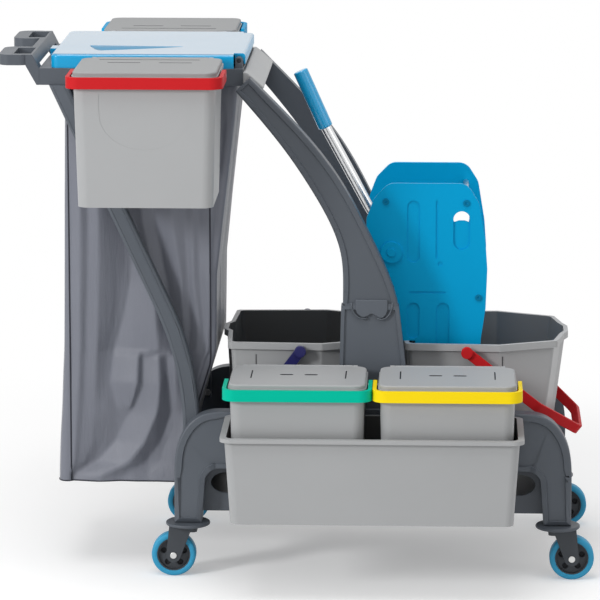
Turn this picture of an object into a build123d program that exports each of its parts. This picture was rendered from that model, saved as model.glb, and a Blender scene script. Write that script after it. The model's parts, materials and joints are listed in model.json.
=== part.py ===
from build123d import *
from math import cos, radians, sin
import os

# Housekeeping cart. X runs along the cart with the push handles at -X, Y runs across it, Z is up.
# The origin is on the floor under the middle of the whole cart. Lengths are in millimetres.
# Pieces of the near side (-Y) are drawn first; their twins on the far side are mirrored about XZ.

os.makedirs("parts", exist_ok=True)

# ---------------------------------------------------------------- base
base_mid_x = 134.5      # middle between the front and rear casters
side_y = 197.0          # centre plane of a side frame
side_thick = 30.0
side_in = side_y - side_thick / 2
side_out = side_y + side_thick / 2
leg_half = 356.5        # outer face of a leg, from the middle of the base
leg_width = 49.5
foot_z = 100.0
shoulder_z = 190.0      # where the outer round of the shoulder starts
beam_low = 199.0
beam_high = 305.0
arch_radius = 24.0
edge_round = 4.0
column_top = 500.0
column_left = 57.0      # the column's left face at its top, from the middle of the base
column_right = 45.0
column_flare = 5.0      # how much further out the left face stands at the beam
column_flare_right = 23.0
tenon_length = 40.0
tenon_thick = 14.0
tenon_width = 70.0
socket_clear = 0.2

tray_inset = 28.5       # the tray's end in from a leg's outer face
tray_half = leg_half - tray_inset
tray_low = 115.0
tray_high = 215.0
tray_wall = 4.0
tray_floor = 5.0
tray_top = tray_low + tray_floor
window_x = 262.0
window_z = 168.0
window_long = 60.0
window_tall = 38.0

# ---------------------------------------------------------------- casters
stem_inset = 23.5       # a swivel axis in from a leg's outer face
stem_half = leg_half - stem_inset
wheel_radius = 40.0
trail = 25.5
tyre_thick = 7.0
tyre_half = 13.0
hub_half = 15.0
fork_inner = 15.5
fork_plate = 4.0
axle_radius = 4.0
run_clear = 0.05
stem_radius = 6.0
stem_length = 36.0
disc_radius = 40.0
disc_thick = 6.0
crown_top = foot_z - disc_thick
crown_thick = 11.0

# ---------------------------------------------------------------- upper frame
rail_out = side_in - 6
rail_wide = 36.0
rail_in = rail_out - rail_wide
rail_low = 888.0
rail_tall = 30.0
rail_high = rail_low + rail_tall
strut_inset = 29.0      # a strut's foot in from a leg's outer face
strut_x = base_mid_x - leg_half + strut_inset
strut_run = 233.0       # how far a strut's top stands to the left of its foot
strut_top_x = strut_x - strut_run
ring_left = strut_top_x - 34
ring_right = -98.0
ring_bar = 18.0
ring_mid_x = (ring_left + ring_right) / 2
handle_rise = 24.0      # the loops' top above the rails
handle_thick = 19.0
handle_top = rail_high + handle_rise
handle_low = handle_top - handle_thick
handle_reach = 57.0
crossbar_left = ring_left - 16
handle_left = crossbar_left - handle_reach
loop_outer = rail_out + 2
loop_inner = 60.0
bridge_out = 38.0       # how far the bridge plate reaches past the ring
loop_side = 17.0
loop_front = 26.0
strut_width = 30.0
strut_thick = 26.0
strut_foot = 250.0
strut_bend_z = 383.0
strut_radius = 540.0
bolt_radius = 4.0
bolt_bite = 20.0        # how deep a strut bolt goes into the side frame
bolt_head_radius = 7.0
bolt_head_tall = 2.2
bolt_rise = 10.0        # the bolts' height above the strut's foot
bolt_places = [(strut_x - 8, strut_foot + bolt_rise), (strut_x + 8, strut_foot + bolt_rise)]

# ---------------------------------------------------------------- waste bag and its lid
bag_rim_left = ring_left + 45
bag_rim_right = ring_right - 15
bag_rim_y = rail_in + 10
bag_rim_band = 12.0
bag_rim_tall = 12.0
bag_wall = 3.0
bag_clear = 0.3
bag_corner = 17.0
bag_low = 165.0
lid_left = ring_left + 20
lid_right = ring_right + 3
lid_y = rail_out - 4
lid_tall = 25.0
lid_top = rail_high + lid_tall
lid_wall = 3.0
lid_round = 6.0
hinge_x = ring_right - 8
hinge_rise = 13.0       # the hinge's axis above the rails
hinge_z = rail_high + hinge_rise
hinge_radius = 4.0
ear_radius = 7.0
knuckle_radius = 8.0
ear_y = rail_out - 26
ear_wide = 14.0

# ---------------------------------------------------------------- large buckets and their bails
bucket_end_room = 51.5  # from the tray's end to the rim of the left bucket
bucket_left = base_mid_x - tray_half + bucket_end_room
bucket_long = tray_half - 18
bucket_gap = 9.0
bucket_pitch = bucket_long + bucket_gap
right_bucket_x = bucket_left + bucket_pitch
bucket_top = 420.0
bucket_rim = 12.0
bucket_flange = 5.0
bucket_taper = 17.0
bucket_wall = 3.0
bucket_lean = 20.0      # how much further in the spout end stands at the floor
bucket_spout_x = 200.0
bucket_room = 20.0      # between a bucket's rim and the side frame
bucket_half = side_in - bucket_room
bucket_round = 9.0
bail_pivot_z = bucket_top - 12
bail_pivot_radius = 6.0
bail_inner = bucket_half + 3
bail_thick = 7.0
bail_reach = 258.0
bail_band = 18.0
bail_bend_radius = 24.0
left_bail_x = bucket_left + 145
left_bail_angle = 53.0
left_bail_bend = 215.0  # where the hanging arm starts to turn in
left_bail_tip = 125.0   # half of the handle's straight middle
right_bail_x = right_bucket_x + bucket_long - 185
right_bail_angle = 38.0
right_bail_bend = 160.0
right_bail_tip = 80.0
ledge_out = 46.0        # how far along the hanging arm its ledge stands
ledge_clear = 0.3

# ---------------------------------------------------------------- mop press
cheek_in = 117.0
cheek_thick = 8.0
shaft_x = 165.0
shaft_z = 582.0
shaft_radius = 8.0
slot_x = 291.0
slot_low = 587.0
slot_high = 657.0
slot_wide = 30.0
cheek_top = slot_high + 50
press_floor = 300.0
press_gap = 32.0        # from the right bucket's rim to the press
plate_top = shaft_z - 47    # the fixed plate ends below the swinging yoke
rod_radius = 5.0
rod_places = [(slot_x + 8, slot_high + 15), (slot_x + 31, slot_low - 87), (slot_x - 41, press_floor + 18)]
screw_places = rod_places + [(shaft_x - 10, cheek_top - 33)]
boss_tall = 4.0
cheek_round = 26.0
foot_rib_long = 70.0    # ribs that wedge the press in the bucket's narrowing walls
foot_rib_tall = 10.0
foot_rib_out = 14.7
screw_radius = 6.0
screw_tall = 2.5
yoke_clear = 4.0
yoke_plate = 8.0
hub_radius = 16.0
jaw_left = 290.0
jaw_right = 302.0
jaw_low = 455.0
jaw_high = 598.0
tube_radius = 9.5
grip_radius = 13.5
grip_end = (-2.3, 890.2)
grip_start = (43.1, 789.2)
tube_bend = (124.0, 640.0)

# ---------------------------------------------------------------- tub
tub_mid_x = 136.5
tub_half = 258.0
tub_taper = 10.0
tub_low = 145.0
tub_high = 301.0
tub_floor = 4.0
tub_wall = 3.5
tub_flange = 7.5
tub_rim = 7.0
tub_back = side_out + 1.0
tub_front = 407.0
hook_thick = 4.0
hook_gap = 0.3
hook_wide = 60.0
hook_reach = 200.0      # hooks from the middle of the tub

# ---------------------------------------------------------------- small bins
bin_wall = 2.5
bin_flange = 3.0
bin_taper = 6.0
bin_rim = 6.0
bin_lid_tall = 8.0
bin_lid_back = 2.5      # the lid's front edge behind the rim's, so that the bail swings past it
bin_corner = 20.0
bin_bail_clear = 2.5
bin_bail_thick = 7.0
bin_bail_band = 20.0
bin_pin_radius = 4.0
lid_pin_radius = 2.5
lid_barrel = 4.0
lower_pitch = 262.0
lower_back = side_out + 9
lower_deep = 170.0
lower_half = 118.0
lower_low = tub_low + tub_floor
lower_tall = 237.0
lower_rim = lower_low + lower_tall
hanger_x = ring_mid_x + 23
hanger_long = 168.0
hanger_low = rail_low + 2
upstand_top = hanger_low + 18
upper_back = rail_out + 20
upper_deep = 206.0
upper_half = 123.0
upper_tall = 228.0
upper_rim = upstand_top + 25
upper_low = upper_rim - upper_tall


def keep(shape, name):
    shape.label = name
    export_step(shape, f"parts/{name}.step")


def keep_pair(near_shape, name):
    keep(near_shape, f"near_{name}")
    keep(mirror(near_shape, about=Plane.XZ), f"far_{name}")


def near_plane(x, inner):
    # a sketch plane facing the near side: local x along the cart, local y up, extrusions go outward
    return Plane(origin=(x, -inner, 0), x_dir=(1, 0, 0), z_dir=(0, -1, 0))


# ================================================================ side frames
with BuildPart() as side_frame:
    with BuildSketch(near_plane(base_mid_x, side_in)):
        with BuildLine():
            outer = Line((leg_half, foot_z), (leg_half, shoulder_z))
            shoulder = Spline(
                (leg_half, shoulder_z), (leg_half - 17, beam_high - 37), (leg_half - 82, beam_high),
                tangents=((0, 1), (-1, 0)))
            Line(shoulder @ 1, (0, beam_high))
            Line((0, beam_high), (0, beam_low))
            arch = FilletPolyline(
                (0, beam_low), (leg_half - leg_width - 8, beam_low), (leg_half - leg_width, foot_z),
                radius=arch_radius)
            Line(arch @ 1, outer @ 0)
        make_face()
        mirror(about=Plane.YZ)
    extrude(amount=side_thick)
    outline_edges = side_frame.faces().sort_by(Axis.Y)[0].outer_wire().edges()
    fillet(outline_edges, radius=edge_round)
    # the column that holds the arm's foot
    with BuildSketch(near_plane(base_mid_x, side_in)):
        Polygon(
            (-column_left - column_flare, beam_high), (column_right + column_flare_right, beam_high),
            (column_right, column_top), (-column_left, column_top), align=None)
    extrude(amount=side_thick)
    with BuildSketch(Plane.XY.offset(column_top)):
        with Locations((base_mid_x - 4, -side_y)):
            Rectangle(tenon_width + 2 * socket_clear, tenon_thick + 2 * socket_clear)
    extrude(amount=-tenon_length - socket_clear, mode=Mode.SUBTRACT)
    # bores for the caster stems
    with BuildSketch(Plane.XY.offset(foot_z)):
        with Locations((base_mid_x - stem_half, -side_y), (base_mid_x + stem_half, -side_y)):
            Circle(stem_radius + run_clear)
    extrude(amount=stem_length - disc_thick + 2, mode=Mode.SUBTRACT)
    # blind bores for the strut bolts
    with BuildSketch(near_plane(0, side_in)):
        with Locations(*bolt_places):
            Circle(bolt_radius + run_clear)
    extrude(amount=bolt_bite, mode=Mode.SUBTRACT)
keep_pair(side_frame.part, "side_frame")

# ================================================================ base tray
with BuildPart() as base_tray:
    with BuildSketch(Plane.XY.offset(tray_low)):
        with Locations((base_mid_x, 0)):
            RectangleRounded(2 * tray_half, 2 * side_in, 14)
    extrude(amount=tray_high - tray_low)
    with BuildSketch(Plane.XY.offset(tray_top)):
        with Locations((base_mid_x, 0)):
            RectangleRounded(2 * (tray_half - tray_wall), 2 * (side_in - tray_wall), 10)
    extrude(amount=tray_high - tray_top, mode=Mode.SUBTRACT)
    # oval windows in the long walls
    with BuildSketch(Plane.XZ):
        with Locations((base_mid_x - window_x, window_z), (base_mid_x + window_x, window_z)):
            Ellipse(window_long / 2, window_tall / 2)
    extrude(amount=side_out, both=True, mode=Mode.SUBTRACT)
keep(base_tray.part, "base_tray")

# ================================================================ arms
arm_foot_left = base_mid_x - column_left + 3
arm_foot_right = base_mid_x + column_right - 1
arm_rise = rail_high - column_top


def arm_point(out, share):
    # a point on the arm: how far it stands out from the ring, and its share of the arm's height
    return (ring_right + out, column_top + share * arm_rise)


with BuildPart() as arm:
    with BuildSketch(near_plane(0, side_in)):
        with BuildLine():
            under = Spline(
                (arm_foot_left, column_top), arm_point(173, 0.239), arm_point(121, 0.502),
                arm_point(-11, 0.914),
                tangents=((0, 1), (-0.66, 0.75)))
            over = Spline(
                arm_point(14, 0.971), arm_point(166, 0.562), arm_point(235, 0.258),
                (arm_foot_right, column_top),
                tangents=((0.7, -0.71), (0.23, -1)))
            Line(under @ 1, over @ 0)
            Line(over @ 1, under @ 0)
        make_face()
    extrude(amount=side_thick)
    fillet(arm.faces().sort_by(Axis.Y)[0].edges().sort_by(SortBy.LENGTH)[-2:], radius=edge_round)
    # the tenon that plugs into the column
    with BuildSketch(Plane.XY.offset(column_top)):
        with Locations((base_mid_x - 4, -side_y)):
            Rectangle(tenon_width, tenon_thick)
    extrude(amount=-tenon_length)
keep_pair(arm.part, "arm")

# ================================================================ struts
strut_mid_y = side_in - strut_thick / 2
with BuildPart() as strut:
    with BuildLine(Plane.XZ.offset(strut_mid_y)) as strut_path:
        lean = (strut_top_x - strut_x) / (rail_low - strut_bend_z)
        FilletPolyline(
            (strut_x, strut_foot), (strut_x, strut_bend_z),
            (strut_top_x + 30 * lean, rail_low + 30), radius=strut_radius)
    with BuildSketch(Plane(origin=strut_path.line @ 0, x_dir=(1, 0, 0), z_dir=(0, 0, 1))):
        RectangleRounded(strut_width, strut_thick, 5)
    sweep()
    split(bisect_by=Plane.XY.offset(rail_low), keep=Keep.BOTTOM)
    with BuildSketch(Plane.XZ.offset(side_in)):
        with Locations(*bolt_places):
            Circle(bolt_radius + run_clear)
    extrude(amount=-strut_thick, mode=Mode.SUBTRACT)
keep_pair(strut.part, "strut")

with BuildPart() as bolts:
    with BuildSketch(near_plane(0, side_in - strut_thick)):
        with Locations(*bolt_places):
            Circle(bolt_radius)
    extrude(amount=strut_thick + bolt_bite)
    with BuildSketch(near_plane(0, side_in - strut_thick)):
        with Locations(*bolt_places):
            RegularPolygon(bolt_head_radius, 6)
    extrude(amount=-bolt_head_tall)
    mirror(about=Plane.XZ)
keep(bolts.part, "strut_bolts")

# ================================================================ top frame
with BuildPart() as top_frame:
    with BuildSketch(Plane.XY.offset(rail_low)):
        with Locations((ring_mid_x, 0)):
            Rectangle(ring_right - ring_left, 2 * rail_out)
            Rectangle(ring_right - ring_left - 2 * ring_bar, 2 * rail_in, mode=Mode.SUBTRACT)
    extrude(amount=rail_high - rail_low)
    # two ears that hold the lid's hinge pin
    with BuildSketch(Plane.XZ):
        with Locations((hinge_x, hinge_z)):
            Circle(ear_radius)
        with Locations((hinge_x, (rail_high + hinge_z) / 2)):
            Rectangle(2 * ear_radius, hinge_z - rail_high)
    extrude(amount=ear_y + ear_wide, both=True)
    with BuildSketch(Plane.XZ):
        with Locations((hinge_x, hinge_z)):
            Rectangle(4 * ear_radius, 2 * hinge_rise)
    extrude(amount=ear_y, both=True, mode=Mode.SUBTRACT)
    with BuildSketch(Plane.XZ):
        with Locations((hinge_x, hinge_z)):
            Circle(hinge_radius)
    extrude(amount=rail_out, both=True, mode=Mode.SUBTRACT)
keep(top_frame.part, "top_frame")

with BuildPart() as hinge_pin:
    with BuildSketch(Plane.XZ):
        with Locations((hinge_x, hinge_z)):
            Circle(hinge_radius)
    extrude(amount=ear_y + ear_wide, both=True)
keep(hinge_pin.part, "lid_hinge_pin")

# ================================================================ push handle
with BuildPart() as push_handle:
    # crossbar with slanting risers down to the top frame
    with BuildSketch(Plane.XZ):
        Polygon(
            (ring_left, rail_high), (ring_left, rail_low), (ring_left - 5, rail_low),
            (crossbar_left - 8, rail_high + 4), (crossbar_left - 8, handle_top),
            (crossbar_left + 4, handle_top), align=None)
    extrude(amount=rail_out, both=True)
    with BuildSketch(Plane.XY.offset(rail_low)):
        with Locations((ring_left - 8, 0)):
            Rectangle(80, 2 * rail_in)
    extrude(amount=handle_low - rail_low, mode=Mode.SUBTRACT)
    # two closed loops for the hands
    with BuildSketch(Plane.XY.offset(handle_low)):
        loop_mid = (loop_outer + loop_inner) / 2
        loop_x = (handle_left + crossbar_left) / 2
        with Locations((loop_x, loop_mid), (loop_x, -loop_mid)):
            RectangleRounded(crossbar_left - handle_left, loop_outer - loop_inner, 20)
            with Locations((loop_front / 2, 0)):
                Rectangle(
                    crossbar_left - handle_left - loop_front, loop_outer - loop_inner - 2 * loop_side,
                    mode=Mode.SUBTRACT)
    extrude(amount=handle_top - handle_low)
    with BuildSketch(Plane.XY.offset(handle_low)):
        with Locations((crossbar_left - 9, loop_mid), (crossbar_left - 9, -loop_mid)):
            Rectangle(18, loop_outer - loop_inner - 2 * loop_side)
    extrude(amount=handle_top - handle_low, mode=Mode.SUBTRACT)
keep(push_handle.part, "push_handle")

# ================================================================ bridge between the arms
with BuildPart() as bridge:
    with BuildSketch(Plane.XZ):
        Polygon(
            (ring_right, rail_low + 4), (ring_right, rail_high - 4), (ring_right + 7, rail_high - 5),
            (ring_right + bridge_out, rail_low - 2), (ring_right + bridge_out - 8, rail_low - 10),
            (ring_right + 8, rail_low + 4),
            align=None)
    extrude(amount=side_in, both=True)
keep(bridge.part, "bridge_plate")

# ================================================================ bag rim and waste bag
rim_mid_x = (bag_rim_left + bag_rim_right) / 2
rim_long = bag_rim_right - bag_rim_left
rim_low = rail_low - bag_rim_tall
with BuildPart() as bag_rim:
    with BuildSketch(Plane.XY.offset(rim_low)):
        with Locations((rim_mid_x, 0)):
            RectangleRounded(rim_long, 2 * bag_rim_y, 16)
            RectangleRounded(
                rim_long - 2 * bag_rim_band, 2 * (bag_rim_y - bag_rim_band), 6, mode=Mode.SUBTRACT)
    extrude(amount=bag_rim_tall)
keep(bag_rim.part, "bag_rim")

bag_top = rail_low - bag_clear
bag_grow = bag_clear + bag_wall
# height, left face, right face of the bag's outside
# the right face leans away from the left bucket, its bail and the end of the tray
tray_left = base_mid_x - tray_half
bag_levels = [
    (bag_top, bag_rim_left - bag_grow, bag_rim_right + bag_grow),
    (rim_low - 2, bag_rim_left - bag_grow, bag_rim_right + bag_grow),
    (bucket_top + 120, bag_rim_left - 8, bucket_left - 5),
    (bucket_top - 20, bag_rim_left - 10, bucket_left - 7),
    (tray_high + 85, bag_rim_left - 12, tray_left + 14),
    (tray_high + 20, bag_rim_left - 14, tray_left - 3),
    (bag_low, bag_rim_left - 16, tray_left - 5),
]


def bag_sections(shrink, lowest):
    sections = []
    for height, left, right in bag_levels:
        with BuildSketch(Plane.XY.offset(max(height, lowest))) as section:
            with Locations(((left + right) / 2, 0)):
                RectangleRounded(
                    right - left - 2 * shrink, 2 * (bag_rim_y + bag_grow - shrink), bag_corner - shrink)
        sections.append(section.sketch)
    return sections


with BuildPart() as waste_bag:
    loft(sections=bag_sections(0, bag_low), ruled=True)
    loft(sections=bag_sections(bag_wall, bag_low + bag_wall), ruled=True, mode=Mode.SUBTRACT)
keep(waste_bag.part, "waste_bag")

# ================================================================ waste lid
with BuildPart() as waste_lid:
    with BuildSketch(Plane.XY.offset(rail_high)):
        with Locations(((lid_left + lid_right) / 2, 0)):
            RectangleRounded(lid_right - lid_left, 2 * lid_y, 14)
    extrude(amount=lid_top - rail_high)
    fillet(waste_lid.faces().sort_by(Axis.Z)[-1].edges(), radius=lid_round)
    with BuildSketch(Plane.XY.offset(rail_high)):
        with Locations(((lid_left + lid_right) / 2, 0)):
            RectangleRounded(lid_right - lid_left - 2 * lid_wall, 2 * (lid_y - lid_wall), 11)
    extrude(amount=lid_top - lid_wall - rail_high, mode=Mode.SUBTRACT)
    # knuckles around the hinge pin
    for side in (-1, 1):
        with BuildSketch(Plane.XZ.offset(side * (ear_y - 1))):
            with Locations((hinge_x, hinge_z)):
                Circle(knuckle_radius)
            with Locations((hinge_x, (hinge_z + lid_top) / 2 - 1)):
                Rectangle(2 * knuckle_radius, lid_top - hinge_z - 2)
        extrude(amount=-side * 20)
    # room for the ears, and a raised skirt so that the end swings clear of the frame
    with BuildSketch(Plane.XY.offset(rail_high)):
        with Locations((hinge_x + 6, ear_y + 12), (hinge_x + 6, -ear_y - 12)):
            Rectangle(30, 25)
    extrude(amount=lid_top - rail_high, mode=Mode.SUBTRACT)
    with BuildSketch(Plane.XY.offset(rail_high)):
        with Locations((lid_right, 0)):
            Rectangle(40, 2 * lid_y)
    extrude(amount=6, mode=Mode.SUBTRACT)
    with BuildSketch(Plane.XZ):
        with Locations((hinge_x, hinge_z)):
            Circle(hinge_radius + run_clear)
    extrude(amount=lid_y, both=True, mode=Mode.SUBTRACT)
    # finger tab on the free end
    with BuildSketch(Plane.XY.offset(rail_high + 4)):
        with Locations((lid_left - 7, 0)):
            Rectangle(18, 44)
    extrude(amount=12)
keep(waste_lid.part, "waste_lid")

# ================================================================ hangers for the upper bins
with BuildPart() as hanger:
    with BuildSketch(Plane.YZ.offset(hanger_x - hanger_long / 2)):
        Polygon(
            (-rail_out, hanger_low), (-rail_out, rail_high - 2), (-rail_out - 3, rail_high - 2),
            (-rail_out - 3, hanger_low + 4), (-rail_out - 10, hanger_low + 4), (-rail_out - 10, upstand_top),
            (-rail_out - 13, upstand_top), (-rail_out - 13, hanger_low), align=None)
    extrude(amount=hanger_long)
    mirror(about=Plane.XZ)
keep(hanger.part, "bin_hangers")

# ================================================================ large buckets
bucket_points = [
    (14, 9 - bucket_half), (184, -bucket_half), (bucket_long - 22, -116), (bucket_long - 8, -48),
    (bucket_long, -24), (bucket_long, 24), (bucket_long - 8, 48), (bucket_long - 22, 116),
    (184, bucket_half), (14, bucket_half - 9), (9, 44), (0, 24), (0, -24), (9, -44)]


def bucket_face(height, x, shrink, lean=0):
    points = [(px - lean if px > bucket_spout_x else px, py) for px, py in bucket_points]
    with BuildSketch(Plane.XY.offset(height)) as face:
        with Locations((x, 0)):
            Polygon(*points, align=None)
        if shrink > 0:
            offset(amount=-shrink, kind=Kind.INTERSECTION, mode=Mode.REPLACE)
        fillet(face.vertices(), radius=bucket_round)
    return face.sketch


def bail_plane(x, angle, way):
    # local x runs along the hanging arms, local y across the cart
    lean = radians(angle)
    return Plane(
        origin=(x, 0, bail_pivot_z), x_dir=(way * cos(lean), 0, -sin(lean)),
        z_dir=(way * sin(lean), 0, cos(lean)))


def make_bucket(name, x, pivot_x, angle, way):
    skin = bucket_flange + bucket_wall
    with BuildPart() as bucket:
        foot = bucket_face(tray_top, x, bucket_flange + bucket_taper, bucket_lean)
        loft(sections=[foot, bucket_face(bucket_top, x, bucket_flange)], ruled=True)
        extrude(bucket_face(bucket_top - bucket_rim, x, 0), amount=bucket_rim)
        # pins that carry the bail, and ledges that the hanging bail rests on
        for side in (-1, 1):
            with BuildSketch(Plane.XZ.offset(side * (bail_inner + bail_thick + 3))):
                with Locations((pivot_x, bail_pivot_z)):
                    Circle(bail_pivot_radius)
            extrude(amount=-side * (bail_thick + 20))
            with BuildSketch(bail_plane(pivot_x, angle, way).offset(-bail_band / 2 - ledge_clear)):
                with Locations((ledge_out, side * (bail_inner - 8))):
                    Rectangle(12, 24)
            extrude(amount=-7)
        inner_foot = bucket_face(tray_top + bucket_wall, x, skin + bucket_taper, bucket_lean)
        loft(sections=[inner_foot, bucket_face(bucket_top, x, skin)], ruled=True, mode=Mode.SUBTRACT)
    keep(bucket.part, name)


def make_bucket_bail(name, pivot_x, angle, way, bend, tip_half):
    outer_y = bail_inner + bail_thick
    with BuildPart() as bail:
        with BuildSketch(bail_plane(pivot_x, angle, way).offset(-bail_band / 2)):
            Polygon(
                (0, outer_y), (bend + 2, outer_y), (bail_reach + bail_thick / 2, tip_half + 5),
                (bail_reach + bail_thick / 2, -tip_half - 5), (bend + 2, -outer_y), (0, -outer_y), align=None)
            Polygon(
                (0, bail_inner), (bend, bail_inner), (bail_reach - bail_thick / 2, tip_half),
                (bail_reach - bail_thick / 2, -tip_half), (bend, -bail_inner), (0, -bail_inner),
                align=None, mode=Mode.SUBTRACT)
        extrude(amount=bail_band)
        bends = bail.edges().filter_by(Axis((0, 0, 0), bail_plane(pivot_x, angle, way).z_dir))
        fillet([edge for edge in bends if abs(edge.center().X - pivot_x) > 20], radius=bail_bend_radius)
        for side in (-1, 1):
            with BuildSketch(Plane.XZ.offset(side * outer_y)):
                with Locations((pivot_x, bail_pivot_z)):
                    Circle(bail_band / 2 + 1)
            extrude(amount=-side * bail_thick)
        with BuildSketch(Plane.XZ):
            with Locations((pivot_x, bail_pivot_z)):
                Circle(bail_pivot_radius + run_clear)
        extrude(amount=outer_y + 1, both=True, mode=Mode.SUBTRACT)
    keep(bail.part, name)


make_bucket("left_bucket", bucket_left, left_bail_x, left_bail_angle, -1)
make_bucket("right_bucket", right_bucket_x, right_bail_x, right_bail_angle, 1)
make_bucket_bail("left_bucket_bail", left_bail_x, left_bail_angle, -1, left_bail_bend, left_bail_tip)
make_bucket_bail("right_bucket_bail", right_bail_x, right_bail_angle, 1, right_bail_bend, right_bail_tip)

# ================================================================ mop press
cheek_out = cheek_in + cheek_thick
press_left = right_bucket_x + press_gap
with BuildPart() as cheek:
    with BuildSketch(near_plane(0, cheek_in)) as outline:
        Polygon(
            (press_left, press_floor), (press_left, bucket_top), (right_bucket_x + 3, bucket_top),
            (right_bucket_x - 7, bucket_top + 100), (shaft_x - 45, shaft_z + 10),
            (shaft_x - 45, shaft_z + 61), (shaft_x - 31, shaft_z + 98), (shaft_x - 5, cheek_top), (slot_x + 9, cheek_top),
            (slot_x + 31, slot_high + 15), (slot_x + 43, slot_low + 13), (slot_x + 46.5, slot_low - 35),
            (slot_x + 44, bucket_top + 60), (slot_x + 36, bucket_top + 5), (slot_x + 30, press_floor),
            align=None)
        fillet([vertex for vertex in outline.vertices() if vertex.Y > shaft_z + 50], radius=cheek_round)
        fillet(outline.vertices().group_by(Axis.Y)[0], radius=12)
        with Locations((slot_x, (slot_low + slot_high) / 2)):
            SlotOverall(slot_high - slot_low, slot_wide, rotation=90, mode=Mode.SUBTRACT)
    extrude(amount=cheek_thick)
    # boss around the lever shaft
    with BuildSketch(near_plane(0, cheek_out)):
        with Locations((shaft_x, shaft_z)):
            Circle(shaft_radius + 11)
    extrude(amount=boss_tall)
    # rib that wedges in the narrowing bucket
    with BuildSketch(near_plane(0, cheek_out)):
        with Locations((slot_x - 26, press_floor - 4 + foot_rib_tall / 2)):
            Rectangle(foot_rib_long, foot_rib_tall)
    extrude(amount=foot_rib_out)
    with BuildSketch(near_plane(0, cheek_in)):
        with Locations((shaft_x, shaft_z)):
            Circle(shaft_radius + run_clear)
    extrude(amount=cheek_thick + boss_tall, mode=Mode.SUBTRACT)
keep_pair(cheek.part, "cheek")

with BuildPart() as basket:
    # fixed plate and perforated floor
    with BuildSketch(Plane.XZ):
        Polygon(
            (press_left + 4, press_floor + 2), (press_left + 4, plate_top), (press_left - 4, plate_top),
            (press_left - 4, bucket_top), (press_left, bucket_top), (press_left, press_floor - 2),
            (slot_x + 29, press_floor - 2), (slot_x + 29, press_floor + 2), align=None)
    extrude(amount=cheek_in, both=True)
    with BuildSketch(Plane.XY.offset(press_floor - 3)):
        with Locations((slot_x - 25, 0)):
            with GridLocations(20, 44, 5, 5):
                SlotOverall(32, 9, rotation=90)
    extrude(amount=8, mode=Mode.SUBTRACT)
keep(basket.part, "press_basket")

with BuildPart() as tie_rods:
    with BuildSketch(Plane.XZ):
        with Locations(*rod_places):
            Circle(rod_radius)
    extrude(amount=cheek_in, both=True)
keep(tie_rods.part, "press_tie_rods")

with BuildPart() as screws:
    with BuildSketch(near_plane(0, cheek_out)):
        with Locations(*screw_places):
            Circle(screw_radius)
            RegularPolygon(2.6, 6, mode=Mode.SUBTRACT)
    extrude(amount=screw_tall)
    mirror(about=Plane.XZ)
keep(screws.part, "press_screws")

with BuildPart() as shaft:
    with BuildSketch(Plane.XZ):
        with Locations((shaft_x, shaft_z)):
            Circle(shaft_radius)
    extrude(amount=cheek_out + 6, both=True)
keep(shaft.part, "press_shaft")

yoke_out = cheek_in - yoke_clear
with BuildPart() as yoke:
    # side plates that carry the jaw
    with BuildSketch(Plane.XZ.offset(-yoke_out)):
        Polygon(
            (shaft_x - 12, shaft_z + 13), (jaw_right, jaw_high), (jaw_right, jaw_low), (jaw_left, jaw_low),
            (jaw_left - 6, shaft_z - 14), (shaft_x - 12, shaft_z - 13), align=None)
    extrude(amount=yoke_plate)
    with BuildSketch(Plane.XZ.offset(yoke_out)):
        Polygon(
            (shaft_x - 12, shaft_z + 13), (jaw_right, jaw_high), (jaw_right, jaw_low), (jaw_left, jaw_low),
            (jaw_left - 6, shaft_z - 14), (shaft_x - 12, shaft_z - 13), align=None)
    extrude(amount=-yoke_plate)
    with BuildSketch(Plane.XZ):
        with Locations((shaft_x, shaft_z)):
            Circle(hub_radius)
        with Locations(((jaw_left + jaw_right) / 2, (jaw_low + jaw_high) / 2)):
            Rectangle(jaw_right - jaw_left, jaw_high - jaw_low)
    extrude(amount=yoke_out, both=True)
    with BuildSketch(Plane.XZ):
        with Locations((shaft_x, shaft_z)):
            Circle(shaft_radius)
    extrude(amount=yoke_out, both=True, mode=Mode.SUBTRACT)
keep(yoke.part, "press_yoke")

with BuildPart() as lever_tube:
    reach = Vector(shaft_x - tube_bend[0], 0, tube_bend[1] - shaft_z).length
    start = (
        shaft_x + (tube_bend[0] - shaft_x) * (hub_radius - 1) / reach,
        shaft_z + (tube_bend[1] - shaft_z) * (hub_radius - 1) / reach)
    with BuildLine(Plane.XZ) as tube_path:
        FilletPolyline(start, tube_bend, grip_start, grip_end, radius=160)
    with BuildSketch(Plane(origin=tube_path.line @ 0, z_dir=tube_path.line % 0)):
        Circle(tube_radius)
    sweep()
    with BuildSketch(Plane.XZ):
        with Locations((shaft_x, shaft_z)):
            Circle(hub_radius)
    extrude(amount=hub_radius, both=True, mode=Mode.SUBTRACT)
keep(lever_tube.part, "lever_tube")

with BuildPart() as grip:
    grip_axis = Plane(
        origin=(grip_end[0], 0, grip_end[1]),
        z_dir=(grip_start[0] - grip_end[0], 0, grip_start[1] - grip_end[1]))
    grip_long = Vector(grip_start[0] - grip_end[0], 0, grip_start[1] - grip_end[1]).length
    with BuildSketch(grip_axis.offset(-3)):
        Circle(grip_radius)
    extrude(amount=grip_long + 3)
    fillet(grip.edges(), radius=3)
keep(grip.part - lever_tube.part, "lever_grip")

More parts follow.
